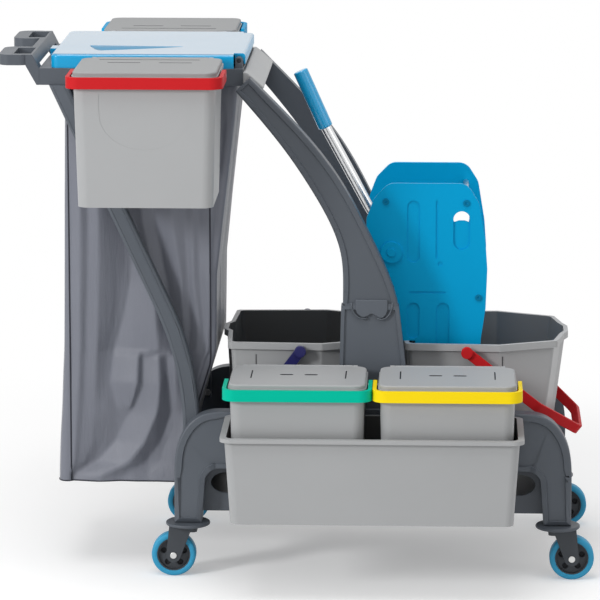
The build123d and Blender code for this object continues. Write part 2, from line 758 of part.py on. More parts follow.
# ================================================================ tub
tub_mid_y = -(tub_front + tub_back) / 2
tub_deep = tub_front - tub_back
with BuildPart() as tub:
    tub_steps = [(tub_low, tub_taper), (tub_high, 0)]
    for height, shrink in tub_steps:
        with BuildSketch(Plane.XY.offset(height)):
            with Locations((tub_mid_x, tub_mid_y + shrink / 2)):
                RectangleRounded(2 * (tub_half - shrink), tub_deep - shrink, 16)
    loft(ruled=True)
    with BuildSketch(Plane.XY.offset(tub_high - tub_rim)):
        with Locations((tub_mid_x, tub_mid_y - tub_flange / 2)):
            RectangleRounded(2 * (tub_half + tub_flange), tub_deep + tub_flange, 20)
    extrude(amount=tub_rim)
    inner_steps = [(tub_low + tub_floor, tub_taper), (tub_high, 0)]
    for height, shrink in inner_steps:
        with BuildSketch(Plane.XY.offset(height)):
            with Locations((tub_mid_x, tub_mid_y + shrink / 2)):
                RectangleRounded(2 * (tub_half - shrink - tub_wall), tub_deep - shrink - 2 * tub_wall, 13)
    loft(ruled=True, mode=Mode.SUBTRACT)
    # hooks over the beam of the side frame
    hook_top = beam_high + hook_gap + hook_thick
    for x in (tub_mid_x - hook_reach, tub_mid_x + hook_reach):
        with BuildSketch(Plane.YZ.offset(x - hook_wide / 2)):
            Polygon(
                (-tub_back - 1, tub_high - 10), (-tub_back - 1, hook_top), (-side_in + hook_thick, hook_top),
                (-side_in + hook_thick, beam_high - 14), (-side_in + 2 * hook_gap, beam_high - 14),
                (-side_in + 2 * hook_gap, beam_high + hook_gap), (-side_out - hook_gap, beam_high + hook_gap),
                (-side_out - hook_gap, tub_high - 10), align=None)
        extrude(amount=hook_wide)
keep(tub.part, "tub")


# ================================================================ small bins with lid and bail
# A bin is drawn on the near side: its back stands at -back, its front at -(back + deep).
def make_bin(name, x, back, deep, half, bottom, rim, far, hook):
    front = back + deep
    middle = -(back + front) / 2
    pivot_y = middle
    pivot_z = rim - bin_bail_band / 2
    flange_half = half + bin_flange
    bail_in = flange_half + bin_bail_clear
    bail_out = bail_in + bin_bail_thick
    bail_front = front + bin_flange + bin_bail_clear + bin_bail_thick
    hinge_y = -back + 1
    hinge_height = rim + lid_barrel

    with BuildPart() as shell:
        for height, shrink in ((bottom, bin_taper), (rim, 0)):
            with BuildSketch(Plane.XY.offset(height)):
                with Locations((x, middle + shrink / 2)):
                    RectangleRounded(2 * (half - shrink), deep - shrink, bin_corner)
        loft(ruled=True)
        with BuildSketch(Plane.XY.offset(rim - bin_rim)):
            with Locations((x, middle - bin_flange / 2)):
                RectangleRounded(2 * flange_half, deep + bin_flange, bin_corner + bin_flange)
        extrude(amount=bin_rim)
        for side in (-1, 1):
            # pins that carry the bail, and ears for the lid's hinge
            with BuildSketch(Plane.YZ.offset(x + side * (half - 2))):
                with Locations((pivot_y, pivot_z)):
                    Circle(bin_pin_radius)
            extrude(amount=side * (bail_out - half + 2))
            with BuildSketch(Plane.YZ.offset(x + side * (half - 24))):
                with Locations((hinge_y, hinge_height)):
                    Circle(lid_barrel)
                with Locations((hinge_y, rim - 1)):
                    Rectangle(2 * lid_barrel, 2 * lid_barrel + 2)
            extrude(amount=side * 8)
        for height, shrink in ((bottom + bin_wall, bin_taper), (rim, 0)):
            with BuildSketch(Plane.XY.offset(height)):
                with Locations((x, middle + shrink / 2)):
                    RectangleRounded(
                        2 * (half - shrink - bin_wall), deep - shrink - 2 * bin_wall, bin_corner - bin_wall)
        loft(ruled=True, mode=Mode.SUBTRACT)
        with BuildSketch(Plane.YZ.offset(x)):
            with Locations((hinge_y, hinge_height)):
                Circle(lid_pin_radius + run_clear)
        extrude(amount=half, both=True, mode=Mode.SUBTRACT)
        if hook:
            with BuildSketch(Plane.YZ.offset(x - hanger_long / 2 + 6)):
                Polygon(
                    (-back - 1, upstand_top - 6), (-back - 1, upstand_top + 4),
                    (-rail_out - 5, upstand_top + 4), (-rail_out - 5, hanger_low + 8),
                    (-rail_out - 8, hanger_low + 8), (-rail_out - 8, upstand_top),
                    (-back + 1, upstand_top), (-back + 1, upstand_top - 6), align=None)
            extrude(amount=hanger_long - 12)

    with BuildPart() as lid:
        with BuildSketch(Plane.XY.offset(rim)):
            with Locations((x, middle - bin_flange / 2 - 3 + bin_lid_back / 2)):
                RectangleRounded(2 * half + 2, deep + bin_flange - 6 - bin_lid_back, bin_corner)
        extrude(amount=bin_lid_tall)
        fillet(lid.faces().sort_by(Axis.Z)[-1].edges(), radius=3)
        with BuildSketch(Plane.XY.offset(rim)):
            with Locations((x, middle)):
                RectangleRounded(2 * half - 8, deep - 18, 16)
        extrude(amount=bin_lid_tall - 3, mode=Mode.SUBTRACT)
        # barrel and pins in the ears
        with BuildSketch(Plane.YZ.offset(x)):
            with Locations((hinge_y, hinge_height)):
                Circle(lid_barrel)
            with Locations((hinge_y - 5, hinge_height)):
                Rectangle(10, 5)
        extrude(amount=half - 25, both=True)
        for side in (-1, 1):
            with BuildSketch(Plane.XY.offset(rim)):
                with Locations((x + side * (half - 20), hinge_y - 2)):
                    Rectangle(9, 14)
            extrude(amount=bin_lid_tall, mode=Mode.SUBTRACT)
        with BuildSketch(Plane.YZ.offset(x)):
            with Locations((hinge_y, hinge_height)):
                Circle(lid_pin_radius)
        extrude(amount=half - 17, both=True)

    with BuildPart() as bail:
        long = bail_front + pivot_y
        with BuildSketch(Plane.XY.offset(pivot_z - bin_bail_band / 2)):
            with Locations((x, pivot_y - long / 2)):
                Rectangle(2 * bail_out, long)
                with Locations((0, bin_bail_thick / 2)):
                    Rectangle(2 * bail_in, long - bin_bail_thick, mode=Mode.SUBTRACT)
        extrude(amount=bin_bail_band)
        fillet(bail.edges().filter_by(Axis.Z).group_by(Axis.Y)[1], radius=17)
        fillet(bail.edges().filter_by(Axis.Z).group_by(Axis.Y)[0], radius=24)
        for side in (-1, 1):
            with BuildSketch(Plane.YZ.offset(x + side * bail_in)):
                with Locations((pivot_y, pivot_z)):
                    Circle(bin_bail_band / 2)
            extrude(amount=side * bin_bail_thick)
        with BuildSketch(Plane.YZ.offset(x)):
            with Locations((pivot_y, pivot_z)):
                Circle(bin_pin_radius + run_clear)
        extrude(amount=bail_out + 1, both=True, mode=Mode.SUBTRACT)

    for piece, ending in ((shell, ""), (lid, "_lid"), (bail, "_bail")):
        keep(mirror(piece.part, about=Plane.XZ) if far else piece.part, name + ending)


lower_sizes = (lower_back, lower_deep, lower_half, lower_low, lower_rim)
upper_sizes = (upper_back, upper_deep, upper_half, upper_low, upper_rim)
make_bin("green_bin", tub_mid_x - lower_pitch / 2, *lower_sizes, far=False, hook=False)
make_bin("yellow_bin", tub_mid_x + lower_pitch / 2, *lower_sizes, far=False, hook=False)
make_bin("red_bin", hanger_x, *upper_sizes, far=False, hook=True)
make_bin("blue_bin", hanger_x, *upper_sizes, far=True, hook=True)

# ================================================================ casters
with BuildPart() as bumper_discs:
    with BuildSketch(Plane.XY.offset(crown_top)):
        with Locations((base_mid_x, 0)):
            with GridLocations(2 * stem_half, 2 * side_y, 2, 2):
                Circle(disc_radius)
                Circle(stem_radius + run_clear, mode=Mode.SUBTRACT)
    extrude(amount=disc_thick)
    rounds = bumper_discs.edges().filter_by(GeomType.CIRCLE)
    fillet([edge for edge in rounds if edge.radius > disc_radius - 1], radius=2.5)
keep(bumper_discs.part, "bumper_discs")


def make_caster(name, x, y, way):
    axle_x = x + way * trail
    with BuildPart() as fork:
        for side in (-1, 1):
            with BuildSketch(Plane.XZ.offset(-y + side * fork_inner)):
                with Locations((axle_x, wheel_radius)):
                    Circle(13)
                with Locations((x + way * 14, crown_top - crown_thick / 2)):
                    Rectangle(38, crown_thick)
                make_hull()
            extrude(amount=side * fork_plate)
        with BuildSketch(Plane.XY.offset(crown_top - crown_thick)):
            with Locations((x + way * 8, y)):
                RectangleRounded(50, 2 * (fork_inner + fork_plate), 8)
        extrude(amount=crown_thick)
        with BuildSketch(Plane.XY.offset(crown_top)):
            with Locations((x, y)):
                Circle(stem_radius)
        extrude(amount=stem_length)
        with BuildSketch(Plane.XZ.offset(-y)):
            with Locations((axle_x, wheel_radius)):
                Circle(axle_radius)
        extrude(amount=fork_inner + fork_plate, both=True, mode=Mode.SUBTRACT)
    keep(fork.part, f"{name}_fork")

    with BuildPart() as axle:
        with BuildSketch(Plane.XZ.offset(-y)):
            with Locations((axle_x, wheel_radius)):
                Circle(axle_radius)
        extrude(amount=fork_inner + fork_plate, both=True)
        for side in (-1, 1):
            with BuildSketch(Plane.XZ.offset(-y + side * (fork_inner + fork_plate))):
                with Locations((axle_x, wheel_radius)):
                    Circle(axle_radius + 2)
            extrude(amount=side * 2)
    keep(axle.part, f"{name}_axle")

    hub_radius_out = wheel_radius - tyre_thick
    with BuildPart() as hub:
        with BuildSketch(Plane.XZ.offset(-y)):
            with Locations((axle_x, wheel_radius)):
                Circle(10)
        extrude(amount=hub_half, both=True)
        with BuildSketch(Plane.XZ.offset(-y)):
            with Locations((axle_x, wheel_radius)):
                Circle(hub_radius_out)
                Circle(hub_radius_out - 5, mode=Mode.SUBTRACT)
        extrude(amount=tyre_half - 1, both=True)
        with BuildSketch(Plane.XZ.offset(-y)):
            with Locations((axle_x, wheel_radius)):
                Circle(hub_radius_out - 4)
                with PolarLocations(19, 5, start_angle=90):
                    Circle(5.5, mode=Mode.SUBTRACT)
        extrude(amount=5, both=True)
        with BuildSketch(Plane.XZ.offset(-y)):
            with Locations((axle_x, wheel_radius)):
                Circle(axle_radius + run_clear)
        extrude(amount=hub_half, both=True, mode=Mode.SUBTRACT)
    keep(hub.part, f"{name}_hub")

    with BuildPart() as tyre:
        with BuildSketch(Plane.XZ.offset(-y)):
            with Locations((axle_x, wheel_radius)):
                Circle(wheel_radius)
                Circle(hub_radius_out, mode=Mode.SUBTRACT)
        extrude(amount=tyre_half, both=True)
        rounds = tyre.edges().filter_by(GeomType.CIRCLE)
        fillet([edge for edge in rounds if edge.radius > wheel_radius - 1], radius=4)
    keep(tyre.part, f"{name}_tyre")


for front_name, way in (("left", -1), ("right", 1)):
    for side_name, side in (("near", -1), ("far", 1)):
        make_caster(f"{side_name}_{front_name}", base_mid_x + way * stem_half, side * side_y, way)
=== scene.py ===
import json
import math

import bmesh
import bpy
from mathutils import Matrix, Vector, noise
from mathutils.bvhtree import BVHTree


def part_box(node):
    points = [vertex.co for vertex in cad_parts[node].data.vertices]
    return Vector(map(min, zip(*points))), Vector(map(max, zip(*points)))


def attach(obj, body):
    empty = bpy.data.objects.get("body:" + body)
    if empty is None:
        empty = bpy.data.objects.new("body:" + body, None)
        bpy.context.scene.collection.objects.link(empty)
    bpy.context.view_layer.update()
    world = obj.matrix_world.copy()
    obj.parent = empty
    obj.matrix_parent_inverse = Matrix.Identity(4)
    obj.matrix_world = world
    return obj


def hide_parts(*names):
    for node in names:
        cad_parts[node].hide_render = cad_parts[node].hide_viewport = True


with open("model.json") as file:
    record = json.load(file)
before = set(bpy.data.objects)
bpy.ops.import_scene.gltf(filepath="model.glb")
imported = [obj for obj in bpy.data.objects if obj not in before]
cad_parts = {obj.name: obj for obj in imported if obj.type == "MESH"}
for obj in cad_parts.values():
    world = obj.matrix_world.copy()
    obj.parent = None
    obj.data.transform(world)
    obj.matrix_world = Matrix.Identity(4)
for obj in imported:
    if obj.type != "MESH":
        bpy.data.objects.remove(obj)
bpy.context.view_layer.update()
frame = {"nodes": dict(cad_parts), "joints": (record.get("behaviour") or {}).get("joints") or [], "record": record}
nodes = frame["nodes"]
print("cart frame loaded:", len(nodes), "pieces")


# one socket's value: sums on it add Math nodes
class Wire:
    def __init__(self, tree, socket):
        self.tree = tree
        self.socket = socket

    def maths(self, operation, first, second):
        node = self.tree.nodes.new("ShaderNodeMath")
        node.operation = operation
        for slot, value in zip(node.inputs, (first, second)):
            if isinstance(value, Wire):
                self.tree.links.new(value.socket, slot)
            else:
                slot.default_value = value
        return Wire(self.tree, node.outputs[0])

    def __add__(self, other):
        return self.maths("ADD", self, other)

    def __radd__(self, other):
        return self.maths("ADD", other, self)

    def __sub__(self, other):
        return self.maths("SUBTRACT", self, other)

    def __rsub__(self, other):
        return self.maths("SUBTRACT", other, self)

    def __mul__(self, other):
        return self.maths("MULTIPLY", self, other)

    def __rmul__(self, other):
        return self.maths("MULTIPLY", other, self)


# the nodes of one material, or of the world
class Finish:
    def __init__(self, owner, outKind="OutputMaterial"):
        owner.use_nodes = True
        self.owner = owner
        self.tree = owner.node_tree
        self.tree.nodes.clear()
        self.out = self.tree.nodes.new("ShaderNode" + outKind)

    # any node but a Math one: its type, its settings, then its sockets by name, or i and a number
    def node(self, kind, settings=None, output=0, **sockets):
        node = self.tree.nodes.new("ShaderNode" + kind)
        for key, value in (settings or {}).items():
            setattr(node, key, value)
        for key, value in sockets.items():
            slot = node.inputs[int(key[1:])] if key[1:].isdigit() else node.inputs[key.replace("_", " ")]
            if isinstance(value, Wire):
                self.tree.links.new(value.socket, slot)
            else:
                slot.default_value = value
        return Wire(self.tree, node.outputs[output])

    def place(self):
        return self.node("TexCoord", None, "Object")

    def facing(self):
        return self.node("TexCoord", None, "Normal")

    def noise(self, place, scale, detail=3.0, rough=0.55):
        return self.node("TexNoise", None, 0, Vector=place, Scale=scale, Detail=detail, Roughness=rough)

    def stretched(self, place, scale):
        return self.node("Mapping", None, 0, Vector=place, Scale=scale)

    def blend(self, factor, first, second):
        return self.node("Mix", {"data_type": "RGBA"}, 2, i0=factor, i6=first, i7=second)

    def bump(self, height, strength, distance, **under):
        return self.node("Bump", None, 0, Height=height, Strength=strength, Distance=distance, **under)

    def seen(self):  # 1 where the camera sees it, straight, in a gloss or through glass
        rays = [self.node("LightPath", None, "Is " + kind + " Ray") for kind in ("Camera", "Glossy", "Transmission")]
        return rays[0] + rays[1] + rays[2]

    def show(self, shader):
        self.tree.links.new(shader.socket, self.out.inputs["Surface"])
        return self.owner

    def surface(self, **sockets):
        return self.show(self.node("BsdfPrincipled", None, 0, **sockets))


def shade(colour, factor):
    return tuple(min(1.0, c * factor) for c in colour[:3]) + (1.0,)


def boxMiddle(node):
    low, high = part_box(node)
    return (low + high) / 2


mouldedLook = {
    "cloudSize": 6.0, "cloudRough": 0.16, "scuffSize": 6.0, "scuffStretch": (60.0, 60.0, 9.0), "scuffRough": 0.12,
    "waveSize": 22.0, "waveStrength": 0.25, "waveDepth": 0.0006,
    "grainSize": 1400.0, "grainStrength": 0.35, "grainDepth": 0.00012, "coatRough": 0.12,
}


def moulded(name, colour, rough, spread=0.06, coat=0.0, grain=1.0, shine=0.3, paintedInsideShade=None):
    look = mouldedLook
    f = Finish(bpy.data.materials.new(name))
    place = f.place()
    cloudy = f.noise(place, look["cloudSize"], 4.0)
    fine = f.noise(place, look["grainSize"], 2.0)
    wave = f.noise(place, look["waveSize"], 2.0)
    tint = f.blend(cloudy, shade(colour, 1 - spread), shade(colour, 1 + spread))
    if paintedInsideShade:  # painted shade: the piece's middle and its share of light; faces turned towards the middle are darkened to that share of the colour
        middle, share = paintedInsideShade
        inward = f.node("VectorMath", {"operation": "SUBTRACT"}, 0, i0=middle, i1=place)
        turned = f.node("VectorMath", {"operation": "DOT_PRODUCT"}, 1, i0=f.facing(), i1=inward)
        inside = f.node("MapRange", None, 0, i0=turned, i1=0.0, i2=0.02)
        tint = f.blend(inside, tint, shade(colour, share))
    scuff = f.noise(f.stretched(place, look["scuffStretch"]), look["scuffSize"], 6.0, 0.7)
    wavy = f.bump(wave, look["waveStrength"], look["waveDepth"])
    return f.surface(
        Base_Color=tint, Specular_IOR_Level=shine, Coat_Weight=coat, Coat_Roughness=look["coatRough"],
        Roughness=rough + (cloudy - 0.5) * look["cloudRough"] + (scuff - 0.5) * look["scuffRough"],
        Normal=f.bump(fine, look["grainStrength"] * grain, look["grainDepth"], Normal=wavy))


metalLook = {"streakSize": 90.0, "streakRough": 0.2, "streakStrength": 0.2, "streakDepth": 0.0002, "cloudSize": 14.0}


def brushedMetal(name, colour, rough, along):
    look = metalLook
    f = Finish(bpy.data.materials.new(name))
    place = f.place()
    streaks = f.noise(f.stretched(place, along), look["streakSize"], 3.0)
    cloudy = f.noise(place, look["cloudSize"], 4.0)
    return f.surface(
        Base_Color=f.blend(cloudy, shade(colour, 0.92), shade(colour, 1.05)), Metallic=1.0,
        Roughness=rough + (streaks - 0.5) * look["streakRough"],
        Normal=f.bump(streaks, look["streakStrength"], look["streakDepth"]))


rubberLook = {"dustSize": 60.0, "rough": 0.5, "dustRough": 0.3, "grainSize": 900.0, "grainDepth": 0.0002}


def tyreRubber(name, colour):
    look = rubberLook
    f = Finish(bpy.data.materials.new(name))
    place = f.place()
    dust = f.noise(place, look["dustSize"], 6.0, 0.7)
    fine = f.noise(place, look["grainSize"], 2.0)
    return f.surface(
        Base_Color=f.blend(dust, shade(colour, 0.85), shade(colour, 1.12)), Specular_IOR_Level=0.4,
        Roughness=look["rough"] + (dust - 0.5) * look["dustRough"], Normal=f.bump(fine, 0.3, look["grainDepth"]))


clothLook = {
    "threads": 420.0, "threadStrength": 0.3, "threadDepth": 0.0003, "cloudSize": 5.0,
    "creaseSize": 1.6, "creaseStretch": (26.0, 26.0, 3.0), "creaseStrength": 0.4, "creaseDepth": 0.005,
    "rough": 0.42, "creaseRough": 0.2, "sheen": 0.35,
}


def coatedCloth(name, colour):
    look = clothLook
    f = Finish(bpy.data.materials.new(name))
    place = f.place()
    warp, weft = (
        f.node("TexWave", {"bands_direction": axis, "wave_profile": "SIN"}, 0, Vector=place, Scale=look["threads"])
        for axis in "XZ")
    cloudy = f.noise(place, look["cloudSize"], 5.0, 0.6)
    crease = f.noise(f.stretched(place, look["creaseStretch"]), look["creaseSize"], 6.0, 0.65)
    creased = f.bump(crease, look["creaseStrength"], look["creaseDepth"])
    return f.surface(
        Base_Color=f.blend(cloudy, shade(colour, 0.9), shade(colour, 1.1)), Specular_IOR_Level=0.5,
        Roughness=look["rough"] + (crease - 0.5) * look["creaseRough"],
        Normal=f.bump(warp * 0.5 + weft * 0.5, look["threadStrength"], look["threadDepth"], Normal=creased),
        Sheen_Weight=look["sheen"], Sheen_Roughness=0.4)


lidLook = {
    "cloudSize": 5.0, "waveSize": 9.0, "waveStrength": 0.12, "waveDepth": 0.0008, "rough": 0.3, "cloudRough": 0.1,
    "coatBelow": 0.12, "coatAbove": 0.88, "coatRough": 0.14, "coatIor": 1.85, "topBlend": 0.5, "topPaintedShade": 0.1,
}


def glossyLid(name, colour):  # polished on top, plainer down its skirt; painted shade: the base colour is darkened on upward faces
    look = lidLook
    f = Finish(bpy.data.materials.new(name))
    place = f.place()
    cloudy = f.noise(place, look["cloudSize"], 3.0)
    wave = f.noise(place, look["waveSize"], 2.0)
    upward = f.node("SeparateXYZ", None, 2, i0=f.facing())
    top = f.node("MapRange", None, 0, i0=upward, i1=0.3, i2=0.97)
    skirtTint = f.blend(cloudy, shade(colour, 0.97), shade(colour, 1.04))
    return f.surface(
        # painted shade: upward faces blend towards a dark copy of the colour, so the glossy top reads pale from its
        # reflection
        Base_Color=f.blend(top * look["topBlend"], skirtTint, shade(colour, look["topPaintedShade"])),
        Roughness=look["rough"] + (cloudy - 0.5) * look["cloudRough"], Specular_IOR_Level=0.3,
        Coat_Weight=look["coatBelow"] + top * look["coatAbove"], Coat_Roughness=look["coatRough"],
        Coat_IOR=look["coatIor"], Normal=f.bump(wave, look["waveStrength"], look["waveDepth"]))


darkGrey = (0.088, 0.100, 0.118)
paleGrey = (0.395, 0.402, 0.408)
brightBlue = (0.0, 0.335, 0.64)


# painted shade: the inside of a bucket or the tub is darkened to the given share
def shadedInsideVessel(name, node, share):
    return moulded(name, paleGrey, 0.40, 0.04, paintedInsideShade=(boxMiddle(node), share))


looks = {
    # finishes of the part's own slots
    "frame_grey": moulded("frameGreyPlastic", darkGrey, 0.42),
    "light_grey": moulded("lightGreyPlastic", paleGrey, 0.40, 0.04),
    "blue": moulded("brightBluePlastic", brightBlue, 0.46, 0.05, shine=0.08),
    "red": moulded("redPlastic", (0.56, 0.018, 0.022), 0.46, 0.05, shine=0.06),
    "green": moulded("greenPlastic", (0.0, 0.50, 0.34), 0.46, 0.05, shine=0.06),
    "yellow": moulded("yellowPlastic", (1.0, 0.72, 0.008), 0.46, 0.04, shine=0.08),
    "navy": moulded("navyPlastic", (0.022, 0.022, 0.125), 0.34, 0.08, coat=0.15),
    "bag_cloth": coatedCloth("greyBagCloth", (0.168, 0.178, 0.215)),
    "steel": brushedMetal("platedSteel", (0.62, 0.62, 0.63), 0.3, (1.0, 1.0, 20.0)),
    "tube_metal": brushedMetal("satinTube", (0.72, 0.73, 0.74), 0.28, (30.0, 30.0, 1.0)),
    "caster_dark": moulded("casterBlackPlastic", (0.055, 0.062, 0.072), 0.45),
    "axle_steel": brushedMetal("zincAxle", (0.66, 0.66, 0.65), 0.32, (1.0, 20.0, 1.0)),
    "tyre_blue": tyreRubber("blueTread", (0.03, 0.33, 0.56)),
    # finishes of single pieces
    "lid_blue": glossyLid("glossyBluePlastic", brightBlue),
    # painted light: a lighter copy of the frame grey for the side frames, struts and arm clips
    "lit_frame_grey": moulded("litFrameGreyPlastic", shade(darkGrey, 1.16), 0.42),
    "lid_grey": moulded("lidGreyPlastic", paleGrey, 0.5, 0.04, shine=0.1),
    # painted shade: a darker copy of the pale grey for the upper bins' lids, against their bright reflection
    "shaded_top_lid_grey": moulded("shadedTopLidGrey", shade(paleGrey, 0.84), 0.52, 0.04, shine=0.08),
    # painted light: a lighter copy of the bright blue for the far press cheek, which the lamps light less
    "lit_far_cheek_blue": moulded("litFarCheekBlue", shade(brightBlue, 1.32), 0.46, 0.05, shine=0.08),
    # painted highlight: the grip's blue is a brighter copy of the bright blue; its glossy coat is its own
    "lit_grip_blue": moulded("litGripBluePlastic", shade(brightBlue, 1.12), 0.24, 0.04, coat=0.5, grain=0.5, shine=0.5),
    # painted shade: a darker copy of the bright blue for the press screws sunk in their recesses
    "shaded_recess_blue": moulded("shadedRecessBlue", shade(brightBlue, 0.55), 0.5, 0.05, shine=0.1),
    # painted shade: a darker grey for the floors of the bucket wall grooves
    "shaded_groove_grey": moulded("shadedGrooveGrey", (0.16, 0.163, 0.17), 0.5, shine=0.1),
    # painted shade: near black for the lids' slots and pits, the lid hinge pin and the wheel webs
    "pit_shade": moulded("paintedPitShade", (0.035, 0.037, 0.042), 0.6, 0.08, shine=0.1),
    "seam_dark": moulded("darkPiping", (0.022, 0.024, 0.034), 0.55),
    # painted shade inside the buckets and the tub, with a different share for each
    "left_bucket": shadedInsideVessel("leftBucketGreyShadedInside", "left_bucket", 0.2),
    "right_bucket": shadedInsideVessel("rightBucketGreyShadedInside", "right_bucket", 0.55),
    "tub": shadedInsideVessel("tubGreyShadedInside", "tub", 0.25),
}
slotOf = {part["node"]: part["material_slot"] for part in frame["record"]["subparts"]}
print("finishes made:", len(looks))


def linked(name, data):
    obj = bpy.data.objects.new(name, data)
    bpy.context.scene.collection.objects.link(obj)
    return obj


def faceOutward(mesh):
    shape = bmesh.new()
    shape.from_mesh(mesh)
    bmesh.ops.recalc_face_normals(shape, faces=shape.faces)
    shape.to_mesh(mesh)
    shape.free()


def roundEdges(obj, width, segments=3, angle=30.0):  # and keeps large flats looking flat beside the rounding
    rounding = obj.modifiers.new("roundEdges", "BEVEL")
    rounding.width = width
    rounding.segments = segments
    rounding.limit_method = "ANGLE"
    rounding.angle_limit = math.radians(angle)
    weighted = obj.modifiers.new("evenShading", "WEIGHTED_NORMAL")
    weighted.mode = "FACE_AREA"
    weighted.weight = 100
    weighted.keep_sharp = True


def surfaceOf(node):
    mesh = nodes[node].data
    return BVHTree.FromPolygons([v.co for v in mesh.vertices], [p.vertices for p in mesh.polygons])


def pieceName(node):
    return node.title().replace("_", "")


# shallow moulded details are cut into the CAD pieces by hidden cutters, whose outlines are in mm
clearOff = 2.0  # metres: rays that look for a skin start this far out
facings = {  # side of the piece: direction into it, and which numbers an outline gives
    "near": (Vector((0, 1, 0)), lambda a, b: Vector((a, -clearOff, b))),
    "far": (Vector((0, -1, 0)), lambda a, b: Vector((a, clearOff, b))),
    "top": (Vector((0, 0, -1)), lambda a, b: Vector((a, b, clearOff))),
}
cutStart = 0.003  # metres: how far a cutter stands out of the skin


def pill(left, right, low, high, steps=6):  # a slot with round ends, as a list of corners
    radius = min(right - left, high - low) / 2 - 0.01
    corners = []
    for x, z, start in (
            (right - radius, low + radius, -90), (right - radius, high - radius, 0),
            (left + radius, high - radius, 90), (left + radius, low + radius, 180)):
        for k in range(steps + 1):
            turn = math.radians(start + 90 * k / steps)
            corners.append((x + radius * math.cos(turn), z + radius * math.sin(turn)))
    return corners


def ring(x, z, radius, count):
    turns = [2 * math.pi * k / count for k in range(count)]
    return [(x + radius * math.cos(turn), z + radius * math.sin(turn)) for turn in turns]


def carve(node, finish, cuts):
    skin = surfaceOf(node)
    verts = []
    faces = []
    for side, outline, depth in cuts:
        inward, start = facings[side]
        hits = [skin.ray_cast(start(a / 1000, b / 1000), inward)[0] for a, b in outline]
        if any(hit is None for hit in hits):
            print("no skin under a cut on", node)
            return
        base = len(verts)
        count = len(outline)
        verts += [hit - inward * cutStart for hit in hits] + [hit + inward * depth / 1000 for hit in hits]
        faces.append(tuple(base + k for k in range(count)))
        faces.append(tuple(base + count + k for k in range(count))[::-1])
        for k in range(count):
            after = (k + 1) % count
            faces.append((base + k, base + count + k, base + count + after, base + after))
    mesh = bpy.data.meshes.new(node + "Cutter")
    mesh.from_pydata(verts, [], faces)
    mesh.materials.append(looks[finish])
    faceOutward(mesh)
    cutter = linked(node + "Cutter", mesh)
    cutter.hide_render = True
    cutter.hide_viewport = True
    return cutter


pressCuts = {  # boxes as left, right, low and high
    "channels": [(193, 216, 563, 676), (193, 216, 424, 490), (246, 270, 345, 490)], "channelDeep": 2.2,
    "lines": [(244.5, 248.5, 571, 676), (197, 263, 507, 510.5)], "lineDeep": 1.54,
    "dimple": (248.5, 257.5, 556.5, 565.5), "dimpleDeep": 1.5,
}


def cheekCuts(side):
    cuts = [(side, pill(*box), pressCuts["channelDeep"]) for box in pressCuts["channels"]]
    cuts += [(side, pill(*box), pressCuts["lineDeep"]) for box in pressCuts["lines"]]
    return cuts + [(side, pill(*pressCuts["dimple"]), pressCuts["dimpleDeep"])]


lidMarks = {  # from the middle of a lid
    "slots": [(66, -92, 86), (26, -74, -16), (26, 16, 74)], "slotWide": 4.5, "slotDeep": 1.4,  # back, left, right
    "pits": [(-33, -9), (10, 34)], "pitHalf": 4, "pitDeep": 1.6,
    "ticks": (-84, 82), "tickWide": 2.4, "tickEnds": (-30, 34), "tickDeep": 1.0,
}
panel = {"low": 806, "high": 904, "half": 78, "squash": 0.8, "steps": 12, "deep": 0.5}
bucketLines = {"wide": 2.4, "deep": 1.2, "low": 300, "high": 398}


def middleInMm(node):
    low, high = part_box(node)
    return (low[0] + high[0]) * 500, (low[1] + high[1]) * 500


def slottedLid(node):  # the upper bins' lids
    x, y = middleInMm(node)
    half = lidMarks["slotWide"] / 2
    cuts = []
    for back, left, right in lidMarks["slots"]:
        row = y - back if y > 0 else y + back
        cuts.append(("top", pill(x + left, x + right, row - half, row + half), lidMarks["slotDeep"]))
    return cuts


def pittedLid(node):  # the lower bins' lids
    x, y = middleInMm(node)
    half = lidMarks["pitHalf"]
    cuts = [("top", pill(x + left, x + right, y - half, y + half), lidMarks["pitDeep"])
            for left, right in lidMarks["pits"]]
    front, back = lidMarks["tickEnds"]
    for tick in lidMarks["ticks"]:
        left = x + tick
        cuts.append(("top", pill(left, left + lidMarks["tickWide"], y + front, y + back), lidMarks["tickDeep"]))
    return cuts


def roundPanel(node):  # a shallow panel with a round foot on a bin's outer side
    x, y = middleInMm(node)
    half = panel["half"]
    tall = half * panel["squash"]
    corners = [(x - half, panel["high"])]
    for k in range(panel["steps"] + 1):
        turn = math.pi + math.pi * k / panel["steps"]
        corners.append((x + half * math.cos(turn), panel["low"] + tall + tall * math.sin(turn)))
    corners.append((x + half, panel["high"]))
    return [("far" if y > 0 else "near", corners, panel["deep"])]


def wallLines(*places):
    half = bucketLines["wide"] / 2
    return [
        (side, pill(x - half, x + half, bucketLines["low"], bucketLines["high"]), bucketLines["deep"])
        for x in places for side in ("near", "far")]


scoop = {  # the dished recess in the waste lid, in mm but for the wall
    "left": -380, "right": -212, "far": -48, "steps": 14, "slant": 10, "wide": 80, "trough": 28, "deep": 10.0,
    "blunt": 0.08, "rise": 9, "taper": 0.8, "leastTrough": 0.6, "leastWide": 1.4, "leastDeep": 0.2, "cutDeep": 12,
    "lip": 1.2, "farRows": 5, "nearRows": 8, "sunk": 0.05, "wall": 0.0016,
}


def scoopPlaces():  # along the lid: its X, far edge, trough, near edge and depth there
    places = []
    for k in range(scoop["steps"] + 1):
        share = k / scoop["steps"]
        x = scoop["left"] + (scoop["right"] - scoop["left"]) * share
        swell = (1 - share) ** scoop["taper"] * min(1.0, share * scoop["rise"] + scoop["blunt"])
        far = scoop["far"] - scoop["slant"] * share
        places.append((
            x, far, far - scoop["trough"] * swell - scoop["leastTrough"],
            far - scoop["wide"] * swell - scoop["leastWide"], scoop["deep"] * swell + scoop["leastDeep"]))
    return places


